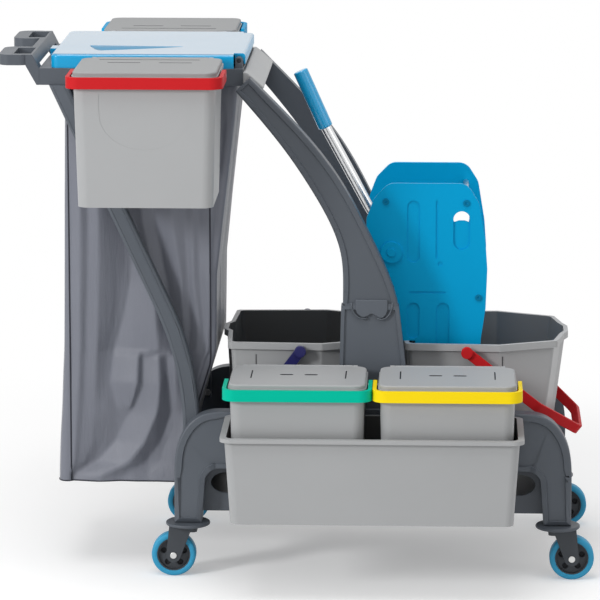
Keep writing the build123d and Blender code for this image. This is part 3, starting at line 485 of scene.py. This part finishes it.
def scoopOutline():
    places = scoopPlaces()
    return [(place[0], place[1]) for place in places] + [(place[0], place[3]) for place in places[::-1]]


carvings = {  # CAD piece: the cuts' finish, then side, outline and depth of each
    "near_cheek": ("blue", cheekCuts("near")), "far_cheek": ("blue", cheekCuts("far")),
    # the lids' slots and pits take the painted-shade finish
    "red_bin_lid": ("pit_shade", slottedLid("red_bin_lid")), "blue_bin_lid": ("pit_shade", slottedLid("blue_bin_lid")),
    "green_bin_lid": ("pit_shade", pittedLid("green_bin_lid")),
    "yellow_bin_lid": ("pit_shade", pittedLid("yellow_bin_lid")),
    "red_bin": ("light_grey", roundPanel("red_bin")), "blue_bin": ("light_grey", roundPanel("blue_bin")),
    "left_bucket": ("shaded_groove_grey", wallLines(-77)), "right_bucket": ("shaded_groove_grey", wallLines(194, 366)),
    "waste_lid": ("lid_blue", [("top", scoopOutline(), scoop["cutDeep"])]),
}
cutters = {node: carve(node, finish, cuts) for node, (finish, cuts) in carvings.items()}
print("cutters made:", len(cutters))


# CAD pieces keep their shape and get softly rounded moulded edges, in metres and degrees
softEdges = {"joined": 0.00002, "flatWithin": 0.6, "sharpFrom": 28.0, "round": 0.0011}
edgeRounds = {
    "tub": 0.0016, "base_tray": 0.002, "push_handle": 0.009, "top_frame": 0.003, "bridge_plate": 0.003,
    "waste_lid": 0.001,
}
dressAs = {
    "waste_lid": "lid_blue", "press_screws": "shaded_recess_blue", "press_shaft": "blue", "lid_hinge_pin": "pit_shade",
    "left_bucket": "left_bucket", "right_bucket": "right_bucket", "tub": "tub", "far_cheek": "lit_far_cheek_blue",
    "lever_grip": "lit_grip_blue", "red_bin_lid": "shaded_top_lid_grey", "blue_bin_lid": "shaded_top_lid_grey",
    "green_bin_lid": "lid_grey", "yellow_bin_lid": "lid_grey",
}
ribbed = {  # way out of the outer face, rim left round the recessed web, and how deep the web lies
    "near_side_frame": ((0, -1, 0), 0.009, 0.0035), "far_side_frame": ((0, 1, 0), 0.009, 0.0035),
    "near_arm": ((0, -1, 0), 0.0055, 0.0025), "far_arm": ((0, 1, 0), 0.0055, 0.0025),
    "near_strut": ((0, -1, 0), 0.0028, 0.0008), "far_strut": ((0, 1, 0), 0.0028, 0.0008),
}
ribs = {"slope": 0.0016, "outerWithin": 0.0005, "flatWithin": 0.5, "facing": 0.995, "round": 0.0012, "sharpFrom": 26.0}


def softenEdges(obj, width, cutter):
    weld = obj.modifiers.new("joinCorners", "WELD")
    weld.merge_threshold = softEdges["joined"]
    if cutter:
        cut = obj.modifiers.new("carve", "BOOLEAN")
        cut.operation = "DIFFERENCE"
        cut.solver = "EXACT"
        cut.object = cutter
        cut.material_mode = "TRANSFER"
    flat = obj.modifiers.new("joinFlats", "DECIMATE")
    flat.decimate_type = "DISSOLVE"
    flat.angle_limit = math.radians(softEdges["flatWithin"])
    roundEdges(obj, width, angle=softEdges["sharpFrom"])


for name, obj in nodes.items():
    obj.data.materials.clear()
    obj.data.materials.append(looks[dressAs.get(name, slotOf[name])])
    if name not in ribbed:
        softenEdges(obj, edgeRounds.get(name, softEdges["round"]), cutters.get(name))
    obj.data.shade_smooth()
print("CAD pieces dressed")


# a copy of a CAD piece whose outer face keeps a rim and lies deeper inside it
def recessWeb(node, outward, rim, depth):
    out = Vector(outward)
    shape = bmesh.new()
    shape.from_mesh(nodes[node].data)
    bmesh.ops.remove_doubles(shape, verts=shape.verts, dist=softEdges["joined"])
    bmesh.ops.dissolve_limit(
        shape, angle_limit=math.radians(ribs["flatWithin"]), verts=shape.verts, edges=shape.edges,
        use_dissolve_boundaries=False)
    shape.normal_update()
    flat = [face for face in shape.faces if face.normal.dot(out) > ribs["facing"]]
    reach = max(face.calc_center_median().dot(out) for face in flat)
    outer = [face for face in flat if face.calc_center_median().dot(out) > reach - ribs["outerWithin"]]
    for wide, lift in ((rim, 0.0), (ribs["slope"], -depth)):
        bmesh.ops.inset_region(
            shape, faces=outer, thickness=wide, depth=lift, use_boundary=True, use_even_offset=False)
    mesh = bpy.data.meshes.new(node + "Ribbed")
    shape.to_mesh(mesh)
    shape.free()
    # the arms keep the frame grey; the side frames and struts take its lighter copy, painted light
    mesh.materials.append(looks["frame_grey" if node.endswith("arm") else "lit_frame_grey"])
    mesh.shade_smooth()
    piece = linked(pieceName(node) + "Ribbed", mesh)
    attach(piece, "frame")
    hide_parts(node)
    roundEdges(piece, ribs["round"], 2, ribs["sharpFrom"])


for node, (outward, rim, depth) in ribbed.items():
    recessWeb(node, outward, rim, depth)
print("frame sides ribbed:", len(ribbed))


def newPiece(name, verts, faces, slotName, body, look=None):  # look: a finish other than its slot's own
    mesh = bpy.data.meshes.new(name)
    mesh.from_pydata(verts, [], faces)
    mesh.validate()
    mesh.materials.append(looks[look or slotName])
    mesh.shade_smooth()
    piece = linked(name, mesh)
    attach(piece, body)
    return piece


def tubeAlong(name, path, radius, slotName, body, sides=10, look=None):
    verts = []
    faces = []
    across = Vector((0.3, 0.9, 0.2))  # any way that no tube here runs
    last = len(path) - 1
    for i, point in enumerate(path):
        along = (path[min(i + 1, last)] - path[max(i - 1, 0)]).normalized()
        side = (across - along * across.dot(along)).normalized()
        up = along.cross(side)
        for k in range(sides):
            turn = 2 * math.pi * k / sides
            verts.append(point + (side * math.cos(turn) + up * math.sin(turn)) * radius)
    for i in range(last):
        for k in range(sides):
            after = (k + 1) % sides
            faces.append((i * sides + k, i * sides + after, (i + 1) * sides + after, (i + 1) * sides + k))
    faces.append(tuple(range(sides))[::-1])
    faces.append(tuple(last * sides + k for k in range(sides)))
    return newPiece(name, verts, faces, slotName, body, look)


trimRound = 0.0012  # metres


def plate(name, outline, y0, y1, slotName, body, look=None):  # its outline in mm, its two sides in metres
    count = len(outline)
    verts = [(a / 1000, y, b / 1000) for y in (y0, y1) for a, b in outline]
    faces = [tuple(range(count)), tuple(range(count, 2 * count))[::-1]]
    for k in range(count):
        faces.append((k, (k + 1) % count, count + (k + 1) % count, count + k))
    piece = newPiece(name, verts, faces, slotName, body, look)
    faceOutward(piece.data)
    roundEdges(piece, trimRound)
    return piece


# the snap clip where each arm meets its column: outlines in mm, the rest in metres
clip = {
    "tongue": [
        (103, 511), (103, 495), (106, 487), (112, 481.5), (119, 479.8), (125, 482.5), (129, 485.8), (134, 485.8),
        (139, 482.5), (145, 479), (151, 478.6), (157, 484), (160, 493), (160, 511)],
    "ears": [
        [(95.5, 506), (96, 496), (100.5, 486), (108, 479), (117, 476.4), (124, 477.8)],
        [(168.5, 506), (168, 496), (163.5, 485), (157, 477.8), (149.5, 475.4), (141, 478.2)]],
    "columnX": 0.131, "columnZ": (0.455, 0.47), "sunk": 0.004, "proud": 0.0022, "earRadius": 0.0017, "earOut": 0.0002,
}


def armClip(side, out):
    column = surfaceOf(side + "_side_frame")
    face = max(
        abs(column.ray_cast(Vector((clip["columnX"], out * clearOff, z)), Vector((0, -out, 0)))[0].y)
        for z in clip["columnZ"])
    # the clip's tongue takes the lighter copy of the frame grey, painted light
    plate(side + "ClipTongue", clip["tongue"], out * (face - clip["sunk"]), out * (face + clip["proud"]),
          "frame_grey", "frame", "lit_frame_grey")
    for k, ear in enumerate(clip["ears"]):
        path = [Vector((x / 1000, out * (face + clip["earOut"]), z / 1000)) for x, z in ear]
        tubeAlong(side + "ClipEar" + str(k), path, clip["earRadius"], "frame_grey", "frame")


armClip("near", -1)
armClip("far", 1)
print("arm clips added")

tyre = {  # a section's numbers in metres, its rounding in shares of the shoulder
    "inner": 0.0300, "shoulder": 0.0022, "roundOff": ((0, 1.7), (0.5, 0.45)), "flankDown": 1.6,
    "flankOut": 0.0002, "bead": 0.0012, "beadIn": 0.0008, "turns": 56,
    "webRadius": 31, "webHalf": 0.001, "webSides": 40,  # the web's radius in mm
}


def makeTyre(corner):  # a rounded tread with flanks that reach down over the wheel's rim
    node = corner + "_tyre"
    body = corner + "_wheel"
    low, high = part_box(node)
    middle = boxMiddle(node)
    outer = (high.x - low.x) / 2
    half = (high.y - low.y) / 2
    inner, flank = tyre["inner"], half + tyre["flankOut"]
    farHalf = [(outer - tyre["shoulder"] * down, half - tyre["shoulder"] * back) for down, back in tyre["roundOff"]]
    farHalf += [(outer - tyre["shoulder"] * tyre["flankDown"], flank), (inner + tyre["bead"], flank)]
    farHalf.append((inner, half - tyre["beadIn"]))
    section = [(radius, -y) for radius, y in farHalf[::-1]] + farHalf  # radius, and distance from the wheel's middle
    turns = tyre["turns"]
    count = len(section)
    verts = []
    faces = []
    for k in range(turns):
        turn = 2 * math.pi * k / turns
        verts += [(middle.x + r * math.cos(turn), middle.y + y, middle.z + r * math.sin(turn)) for r, y in section]
        after = (k + 1) % turns
        for i in range(count):
            j = (i + 1) % count
            faces.append((k * count + i, after * count + i, after * count + j, k * count + j))
    tread = newPiece(pieceName(corner) + "Tread", verts, faces, "tyre_blue", body)
    faceOutward(tread.data)
    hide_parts(node)
    disc = ring(middle.x * 1000, middle.z * 1000, tyre["webRadius"], tyre["webSides"])  # painted shade: a dark disc behind the hub's openings
    plate(pieceName(corner) + "Web", disc, middle.y - tyre["webHalf"], middle.y + tyre["webHalf"], "caster_dark",
          body, "pit_shade")


for corner in ("near_left", "near_right", "far_left", "far_right"):
    makeTyre(corner)
print("treads and wheel webs added")


def lidScoop():  # the dished sheet under the opening that is cut in the lid
    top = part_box("waste_lid")[1][2]
    lip, farRows, nearRows = scoop["lip"], scoop["farRows"], scoop["nearRows"]
    places = scoopPlaces()
    verts = []
    for x, far, trough, near, deep in places:
        rows = []
        for k in range(farRows):
            down = 1 - math.cos(math.pi * k / farRows)
            rows.append((far + lip + (trough - far - lip) * k / farRows, -deep * down / 2))
        for k in range(nearRows):
            down = 1 + math.cos(math.pi * k / (nearRows - 1))
            rows.append((trough + (near - lip - trough) * k / (nearRows - 1), -deep * down / 2))
        verts += [(x / 1000, y / 1000, top + (z - scoop["sunk"]) / 1000) for y, z in rows]
    count = farRows + nearRows
    faces = [
        (k * count + i, k * count + i + 1, (k + 1) * count + i + 1, (k + 1) * count + i)
        for k in range(len(places) - 1) for i in range(count - 1)]
    piece = newPiece("lidScoop", verts, faces, "blue", "waste_lid", "lid_blue")
    wall = piece.modifiers.new("scoopWall", "SOLIDIFY")
    wall.thickness = scoop["wall"]
    wall.offset = -1.0 if piece.data.polygons[0].normal.z > 0 else 1.0


trims = {  # in mm, but for the pocket's Y and the caps' thickness
    "slot": (275.6, 306.4, 586.6, 657.4), "slotMiddle": (291, 602), "pocketTop": 640, "pocketY": (-0.1218, -0.1200),
    "archLow": 8, "archSteps": ((306.4, 7), (302, 2), (296, 0), (286, 0), (280, 2), (275.6, 7)),
    "capRadius": 10.5, "capThick": 0.0022, "capOut": 0.0004, "capSides": 28,
}


def slotPocket():  # the hand slot is closed behind, all but its top
    top = trims["pocketTop"]
    middleX, middleZ = trims["slotMiddle"]
    corners = [(x, z) for x, z in pill(*trims["slot"]) if z < top - trims["archLow"]]
    corners.sort(key=lambda c: math.atan2(c[1] - middleZ, c[0] - middleX))
    arch = [(x, top - down) for x, down in trims["archSteps"]]
    near, far = trims["pocketY"]
    plate("slotPocket", corners + arch, near, far, "blue", "press")


def bailCap(bail, joint, slotName, body):  # a round cap on each end of the bail's pivot
    place = next(j for j in frame["joints"] if j["name"] == joint)["pos_m"]
    disc = ring(place[0] * 1000, place[2] * 1000, trims["capRadius"], trims["capSides"])
    skins = [surfaceOf(bail), surfaceOf(bail.replace("_bail", ""))]
    for side, out in (("Near", -1), ("Far", 1)):
        start = Vector((place[0], out * clearOff, place[2]))
        hits = [skin.ray_cast(start, Vector((0, -out, 0)))[0] for skin in skins]
        outer = max(abs(hit.y) for hit in hits if hit is not None) + trims["capOut"]
        plate(pieceName(bail) + "Cap" + side, disc, out * outer, out * (outer + trims["capThick"]), slotName, body)


lidScoop()
slotPocket()
bailCap("left_bucket_bail", "left_bail_hinge", "navy", "left_bail")
bailCap("right_bucket_bail", "right_bail_hinge", "red", "right_bail")
print("lid, press and bail trims added")

# the waste bag: a cloth shell hung in the rim, creased where it sags between its corners
bag = {
    "rows": 150, "thick": 0.0016, "cornerRadius": 0.017, "cornerColumns": 7, "halfDeep": 0.1533, "contrast": 1.35,
    # each wall's columns, how far it sags in, and the seed of its ripples
    "walls": [("near", 84, 0, 0), ("right", 44, 0.004, 3.0), ("far", 44, 0.006, 15.0), ("left", 44, 0.004, 9.0)],
    # ripples: how often across and down in a metre, their seed, and how deep they are
    "wrinkle": (38.0, 9.0, 21.0, 0.0011), "ripple": (15.0, 1.6, 0.0, 0.0075), "fineRipple": (50.0, 4.0, 7.0, 0.0022),
    "proud": 0.0015, "hem": 0.012, "hemEase": 0.06,
    "footOften": 20, "footWave": 0.0012, "bottomRings": 9, "bottomRise": 0.004, "bottomOften": 16,
    "bottomWave": 0.003, "middleRise": 0.005,
    "seams": {"bagSeamLeft": -0.4135, "bagSeamRight": -0.1595}, "seamInset": (0.003, 0.004), "seamRadius": 0.0015,
    "seamRows": 3, "footSeamRadius": 0.0011, "footSeamLift": 0.0012,
    # heights with the left and right edge there
    "levels": [
        (0.8877, -0.4183, -0.1097), (0.874, -0.4183, -0.1097), (0.54, -0.423, -0.147), (0.40, -0.425, -0.149),
        (0.30, -0.429, -0.1795), (0.235, -0.433, -0.1965), (0.158, -0.436, -0.1985)],
    # creases of the near side: height, then where each crest or valley runs and how far it stands out, in mm
    "creases": [
        (0.880, "-412,-2 -393,0 -380,-1 -362,0 -318,-3 -300,-4 -280,-2 "
                "-262,-4 -228,-1 -206,-2 -191,-1 -180,-2 -158,-1 -136,-5"),
        (0.700, "-412,-6 -393,0 -380,-5 -362,-1 -320,-14 -302,-16 -280,-9 "
                "-262,-15 -228,-3 -206,-9 -191,-4 -180,-8 -159,-2 -143,-9"),
        (0.638, "-412,-6 -392,0 -379,-5 -360,-1 -318,-15 -304,-16 -282,-9 "
                "-262,-15 -227,-3 -205,-10 -190,-5 -181,-9 -160,-2 -147,-9"),
        (0.565, "-412,-6 -393,0 -380,-5 -360,-2 -314,-17 -301,-18 -268,-6 "
                "-246,-14 -216,-4 -202,-10 -190,-5 -180,-9 -159,-2 -150,-8"),
        (0.527, "-412,-6 -393,0 -381,-5 -361,-3 -319,-17 -305,-19 -262,-4 "
                "-238,-13 -212,-5 -200,-10 -189,-5 -178,-9 -160,-2 -152,-8"),
        (0.453, "-412,-6 -395,0 -384,-5 -363,-3 -333,-16 -320,-19 -258,-1 "
                "-228,-12 -208,-6 -198,-10 -180,-4 -172,-7 -161,-3 -154,-8"),
        (0.402, "-412,-6 -395,0 -385,-5 -365,-4 -347,-15 -336,-19 -254,-3 "
                "-222,-11 -208,-7 -199,-10 -184,-5 -174,-7 -164,-3 -156,-8"),
        (0.392, "-412,-6 -396,-1 -386,-5 -366,-4 -350,-12 -338,-16 -290,-5 "
                "-283,-11 -254,-4 -240,-11 -224,-5 -200,-9 -170,-4 -162,-8"),
        (0.342, "-413,-6 -398,-1 -388,-5 -368,-4 -352,-10 -342,-12 -292,2 "
                "-284,-7 -251,1 -236,-11 -224,-6 -210,-9 -186,-5 -178,-8"),
        (0.300, "-413,-5 -401,-2 -391,-5 -370,-5 -350,-8 -332,-12 -304,-7 "
                "-299,-12 -255,1 -232,-12 -222,-9 -208,-9 -192,-5 -186,-8"),
        (0.286, "-413,-5 -402,-2 -392,-5 -371,-5 -348,-9 -326,-13 -312,-14 "
                "-308,-14 -258,1 -232,-13 -222,-11 -210,-9 -198,-5 -193,-8"),
        (0.231, "-414,-4 -406,-2 -396,-5 -376,-7 -357,-13 -343,-15 -339,-16 "
                "-336,-16 -281,1 -252,-13 -240,-13 -224,-9 -206,-4 -203,-6"),
        (0.194, "-414,-3 -408,-2 -402,-5 -390,-8 -380,-13 -372,-15 -370,-15 "
                "-368,-15 -310,0 -278,-12 -256,-12 -232,-8 -208,-4 -204,-6"),
        (0.172, "-416,-3 -415,-5 -414.5,-6 -414,-8 -413.5,-9 -413,-10 -412.6,-10 "
                "-412,-10 -356,0 -318,-8 -282,-8 -242,-6 -210,-3 -205,-5"),
        (0.150, "-416,-3 -415,-3 -414.5,-4 -414,-4 -413.5,-5 -413,-5 -412.6,-5 "
                "-412,-5 -370,-2 -330,-4 -290,-4 -246,-3 -210,-2 -205,-3"),
    ],
}
bagHigh, bagLow = bag["levels"][0][0], bag["levels"][-1][0]
bagCreases = [
    (height, [tuple(float(v) / 1000 for v in pair.split(",")) for pair in line.split()])
    for height, line in bag["creases"]]
# round the outline: each wall's columns, then its corner's, as side, whether in the corner, and share of the way
bagPlan = []
for side, (name, count, sag, seed) in enumerate(bag["walls"]):
    bagPlan += [(side, False, i / count) for i in range(count)]
    bagPlan += [(side, True, i / bag["cornerColumns"]) for i in range(bag["cornerColumns"])]
nearParts = [(0, False), (0, True), (3, True)]  # the near wall and the corner at each end of it
nearColumns = [i for i, (side, corner, share) in enumerate(bagPlan) if (side, corner) in nearParts]


def bagEdges(z):
    for (highZ, highLeft, highRight), (lowZ, lowLeft, lowRight) in zip(bag["levels"], bag["levels"][1:]):
        if z >= lowZ:
            share = (highZ - z) / (highZ - lowZ)
            return highLeft + (lowLeft - highLeft) * share, highRight + (lowRight - highRight) * share
    return bag["levels"][-1][1:]


def creaseDepth(x, z):  # how far the near side stands out at a place
    level = 0
    while level < len(bagCreases) - 2 and z < bagCreases[level + 1][0]:
        level += 1
    (highZ, highLine), (lowZ, lowLine) = bagCreases[level], bagCreases[level + 1]
    share = max(0.0, min(1.0, (highZ - z) / (highZ - lowZ)))
    line = [(a + (c - a) * share, b + (d - b) * share) for (a, b), (c, d) in zip(highLine, lowLine)]
    if x <= line[0][0]:
        return line[0][1]
    for (x0, depth0), (x1, depth1) in zip(line, line[1:]):
        if x <= x1:
            return depth0 + (depth1 - depth0) * (x - x0) / max(1e-6, x1 - x0)
    return line[-1][1]


def waves(kind, along, z, seed=0.0):  # one of the bag's three kinds of ripple
    across, down, ownSeed, deep = bag[kind]
    return noise.noise(Vector((along * across, z * down, seed + ownSeed))) * deep


def wallPoint(side, corner, share, z):  # a place on the bag's flat outline, and the way out from it
    radius, half = bag["cornerRadius"], bag["halfDeep"]
    left, right = bagEdges(z)
    inLeft, inRight, inNear, inFar = left + radius, right - radius, -half + radius, half - radius
    centres = [(inLeft, inNear), (inRight, inNear), (inRight, inFar), (inLeft, inFar)]  # of the rounded corners
    (startX, startY), (endX, endY) = centres[side], centres[(side + 1) % 4]
    along, bend = (1.0, share) if corner else (share, 0.0)
    turn = math.pi / 2 * (side - 1 + bend)
    out = Vector((math.cos(turn), math.sin(turn), 0))
    return Vector((startX + (endX - startX) * along, startY + (endY - startY) * along, z)) + out * radius, out


def bagPush(side, corner, share, base, out):  # how far the cloth stands out of the flat outline
    if (side, corner) in nearParts:
        creased = creaseDepth(base.x, base.z) * bag["contrast"] + waves("wrinkle", base.x, base.z)
        return creased * max(0.0, -out.y) ** 2
    if corner:
        return 0.0
    # quiet vertical folds on the sides that nothing presses on
    name, columns, sag, seed = bag["walls"][side]
    along = base.x if name == "far" else base.y
    rippled = waves("ripple", along, base.z, seed) + waves("fineRipple", along, base.z, seed)
    return rippled - sag * math.sin(math.pi * share)


def smoothed(push):
    last, columns = len(push) - 1, len(push[0])
    return [
        [(push[j][i] * 4 + push[max(j - 1, 0)][i] + push[min(j + 1, last)][i]
          + push[j][i - 1] + push[j][(i + 1) % columns]) / 8 for i in range(columns)]
        for j in range(last + 1)]


def bagWalls():
    heights = [bagHigh + (bagLow - bagHigh) * j / bag["rows"] for j in range(bag["rows"] + 1)]
    grid = [[wallPoint(*step, z) for step in bagPlan] for z in heights]
    push = smoothed([[bagPush(*step, *point) for step, point in zip(bagPlan, row)] for row in grid])
    verts = []
    for z, row, line in zip(heights, grid, push):
        held = max(0.0, min(1.0, (bagHigh - z - bag["hem"]) / bag["hemEase"]))  # the hem lies flat round the rim
        for (base, out), value in zip(row, line):
            lift = 0.0
            if row is grid[-1]:
                wave = noise.noise(Vector((base.x * bag["footOften"], base.y * bag["footOften"], 2.0)))
                lift = (wave + 1) * bag["footWave"]
            verts.append(base + out * (min(bag["proud"], value) * held) + Vector((0, 0, lift)))
    return verts


def ringFaces(start, columns):
    return [
        (start + columns + i, start + columns + (i + 1) % columns, start + (i + 1) % columns, start + i)
        for i in range(columns)]


def closeFoot(verts, faces):  # the bottom closes in rings round its middle
    columns = len(bagPlan)
    foot = verts[-columns:]
    left, right = bagEdges(bagLow)
    middle = Vector(((left + right) / 2, 0, bagLow))
    for r in range(1, bag["bottomRings"]):
        faces += ringFaces(len(verts) - columns, columns)
        for edge in foot:
            point = edge + (middle - edge) * (r / bag["bottomRings"])
            wave = noise.noise(Vector((point.x * bag["bottomOften"], point.y * bag["bottomOften"], 5.0)))
            point.z = bagLow + bag["bottomRise"] + bag["bottomWave"] * wave
            verts.append(point)
    start = len(verts) - columns
    verts.append(Vector((middle.x, middle.y, bagLow + bag["middleRise"])))
    faces += [(len(verts) - 1, start + (i + 1) % columns, start + i) for i in range(columns)]


def seamPath(verts, seamX):  # down the near side, kept a little in from its ends
    fromLeft, fromRight = bag["seamInset"]
    path = []
    for j in range(bag["seamRows"], bag["rows"] + 1, bag["seamRows"]):
        line = sorted((verts[j * len(bagPlan) + i] for i in nearColumns), key=lambda v: v.x)
        wanted = max(line[0].x + fromLeft, min(line[-1].x - fromRight, seamX))
        after = next(k for k, v in enumerate(line) if v.x > wanted)
        a, b = line[after - 1], line[after]
        path.append(a + (b - a) * ((wanted - a.x) / (b.x - a.x)))
    return path


def makeBag():
    columns = len(bagPlan)
    verts = bagWalls()
    faces = []
    for j in range(bag["rows"]):
        faces += ringFaces(j * columns, columns)
    closeFoot(verts, faces)
    shell = newPiece("wasteBagCloth", verts, faces, "bag_cloth", "frame")
    thick = shell.modifiers.new("clothThickness", "SOLIDIFY")
    thick.thickness = bag["thick"]
    thick.offset = -1.0
    solid = bpy.data.meshes.new_from_object(shell.evaluated_get(bpy.context.evaluated_depsgraph_get()))
    shell.modifiers.clear()
    shell.data = solid
    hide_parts("waste_bag")
    # corded seams down the two near corners and round the foot
    seams = [
        tubeAlong(name, seamPath(verts, x), bag["seamRadius"], "bag_cloth", "frame", 8, "seam_dark")
        for name, x in bag["seams"].items()]
    lift = Vector((0, 0, bag["footSeamLift"]))
    foot = [verts[bag["rows"] * columns + i] + lift for i in range(0, columns, 2)]
    seams.append(tubeAlong(
        "bagSeamFoot", foot + [foot[0]], bag["footSeamRadius"], "bag_cloth", "frame", 6, "seam_dark"))
    return shell, seams


bagCloth, bagSeams = makeBag()
print("waste bag hung")

# room, light and camera
room = {"floorSize": 40.0, "floorPale": 0.80, "floorGlow": 0.31, "whiteFrom": 0.75, "whiteFull": 1.7, "airLight": 0.46}
lamps = [  # name, place, aimed at, size, watts
    ("softTop", (-0.4, -1.2, 4.2), (0.0, 0.0, 0.4), 2.6, 68.0),
    ("keyLeft", (-3.5, -3.3, 2.2), (0.0, 0.0, 0.5), 1.0, 105.0),
    ("softRight", (3.8, -2.2, 1.8), (0.1, 0.0, 0.5), 2.0, 14.0),
]
view = {"place": (0.2624, -6.7873, 1.7860), "pitch": 0.19153, "yaw": -0.03924, "lens": 226.15, "sensor": 36.0}
white = (1.0, 1.0, 1.0, 1.0)


def whiteFloor():
    f = Finish(bpy.data.materials.new("whiteFloor"))
    seen = f.seen()
    pale = room["floorPale"]
    lit = f.node("BsdfDiffuse", None, 0, Color=(pale, pale, pale, 1.0))
    glow = f.node("Emission", None, 0, Color=white, Strength=room["floorGlow"])
    both = f.node("AddShader", None, 0, i0=lit, i1=glow)
    nearby = f.node("MixShader", None, 0, i0=seen, i1=lit, i2=both)
    # far from the cart the floor is seen as plain white
    away = f.node("VectorMath", {"operation": "LENGTH"}, 1, i0=f.node("NewGeometry", None, "Position"))
    faded = f.node(
        "MapRange", {"interpolation_type": "SMOOTHSTEP"}, 0, i0=away, i1=room["whiteFrom"], i2=room["whiteFull"])
    plain = f.node("Emission", None, 0, Color=white, Strength=1.0)
    return f.show(f.node("MixShader", None, 0, i0=faded * seen, i1=nearby, i2=plain))


half = room["floorSize"] / 2
floorMesh = bpy.data.meshes.new("studioFloor")
floorMesh.from_pydata([(-half, -half, 0), (half, -half, 0), (half, half, 0), (-half, half, 0)], [], [(0, 1, 2, 3)])
floorMesh.materials.append(whiteFloor())
linked("studioFloor", floorMesh)

air = Finish(bpy.data.worlds.new("studioAir"), "OutputWorld")
air.show(air.node("Background", None, 0, Color=white, Strength=room["airLight"] + air.seen() * (1 - room["airLight"])))
bpy.context.scene.world = air.owner

for name, place, aim, size, watts in lamps:
    lamp = bpy.data.lights.new(name, "AREA")
    lamp.shape = "DISK"
    lamp.size = size
    lamp.energy = watts
    lampObj = linked(name, lamp)
    lampObj.location = place
    lampObj.rotation_euler = (Vector(place) - Vector(aim)).to_track_quat("Z", "Y").to_euler()

camera = bpy.data.cameras.new("cartCamera")
camera.lens = view["lens"]
camera.sensor_width = view["sensor"]
camera.clip_end = 100.0
cameraObj = linked("cartCamera", camera)
cameraObj.location = view["place"]
cameraObj.rotation_euler = (math.pi / 2 - view["pitch"], 0.0, -view["yaw"])
bpy.context.scene.camera = cameraObj
bpy.context.scene.view_settings.view_transform = "Standard"
print("room, lamps and camera placed")
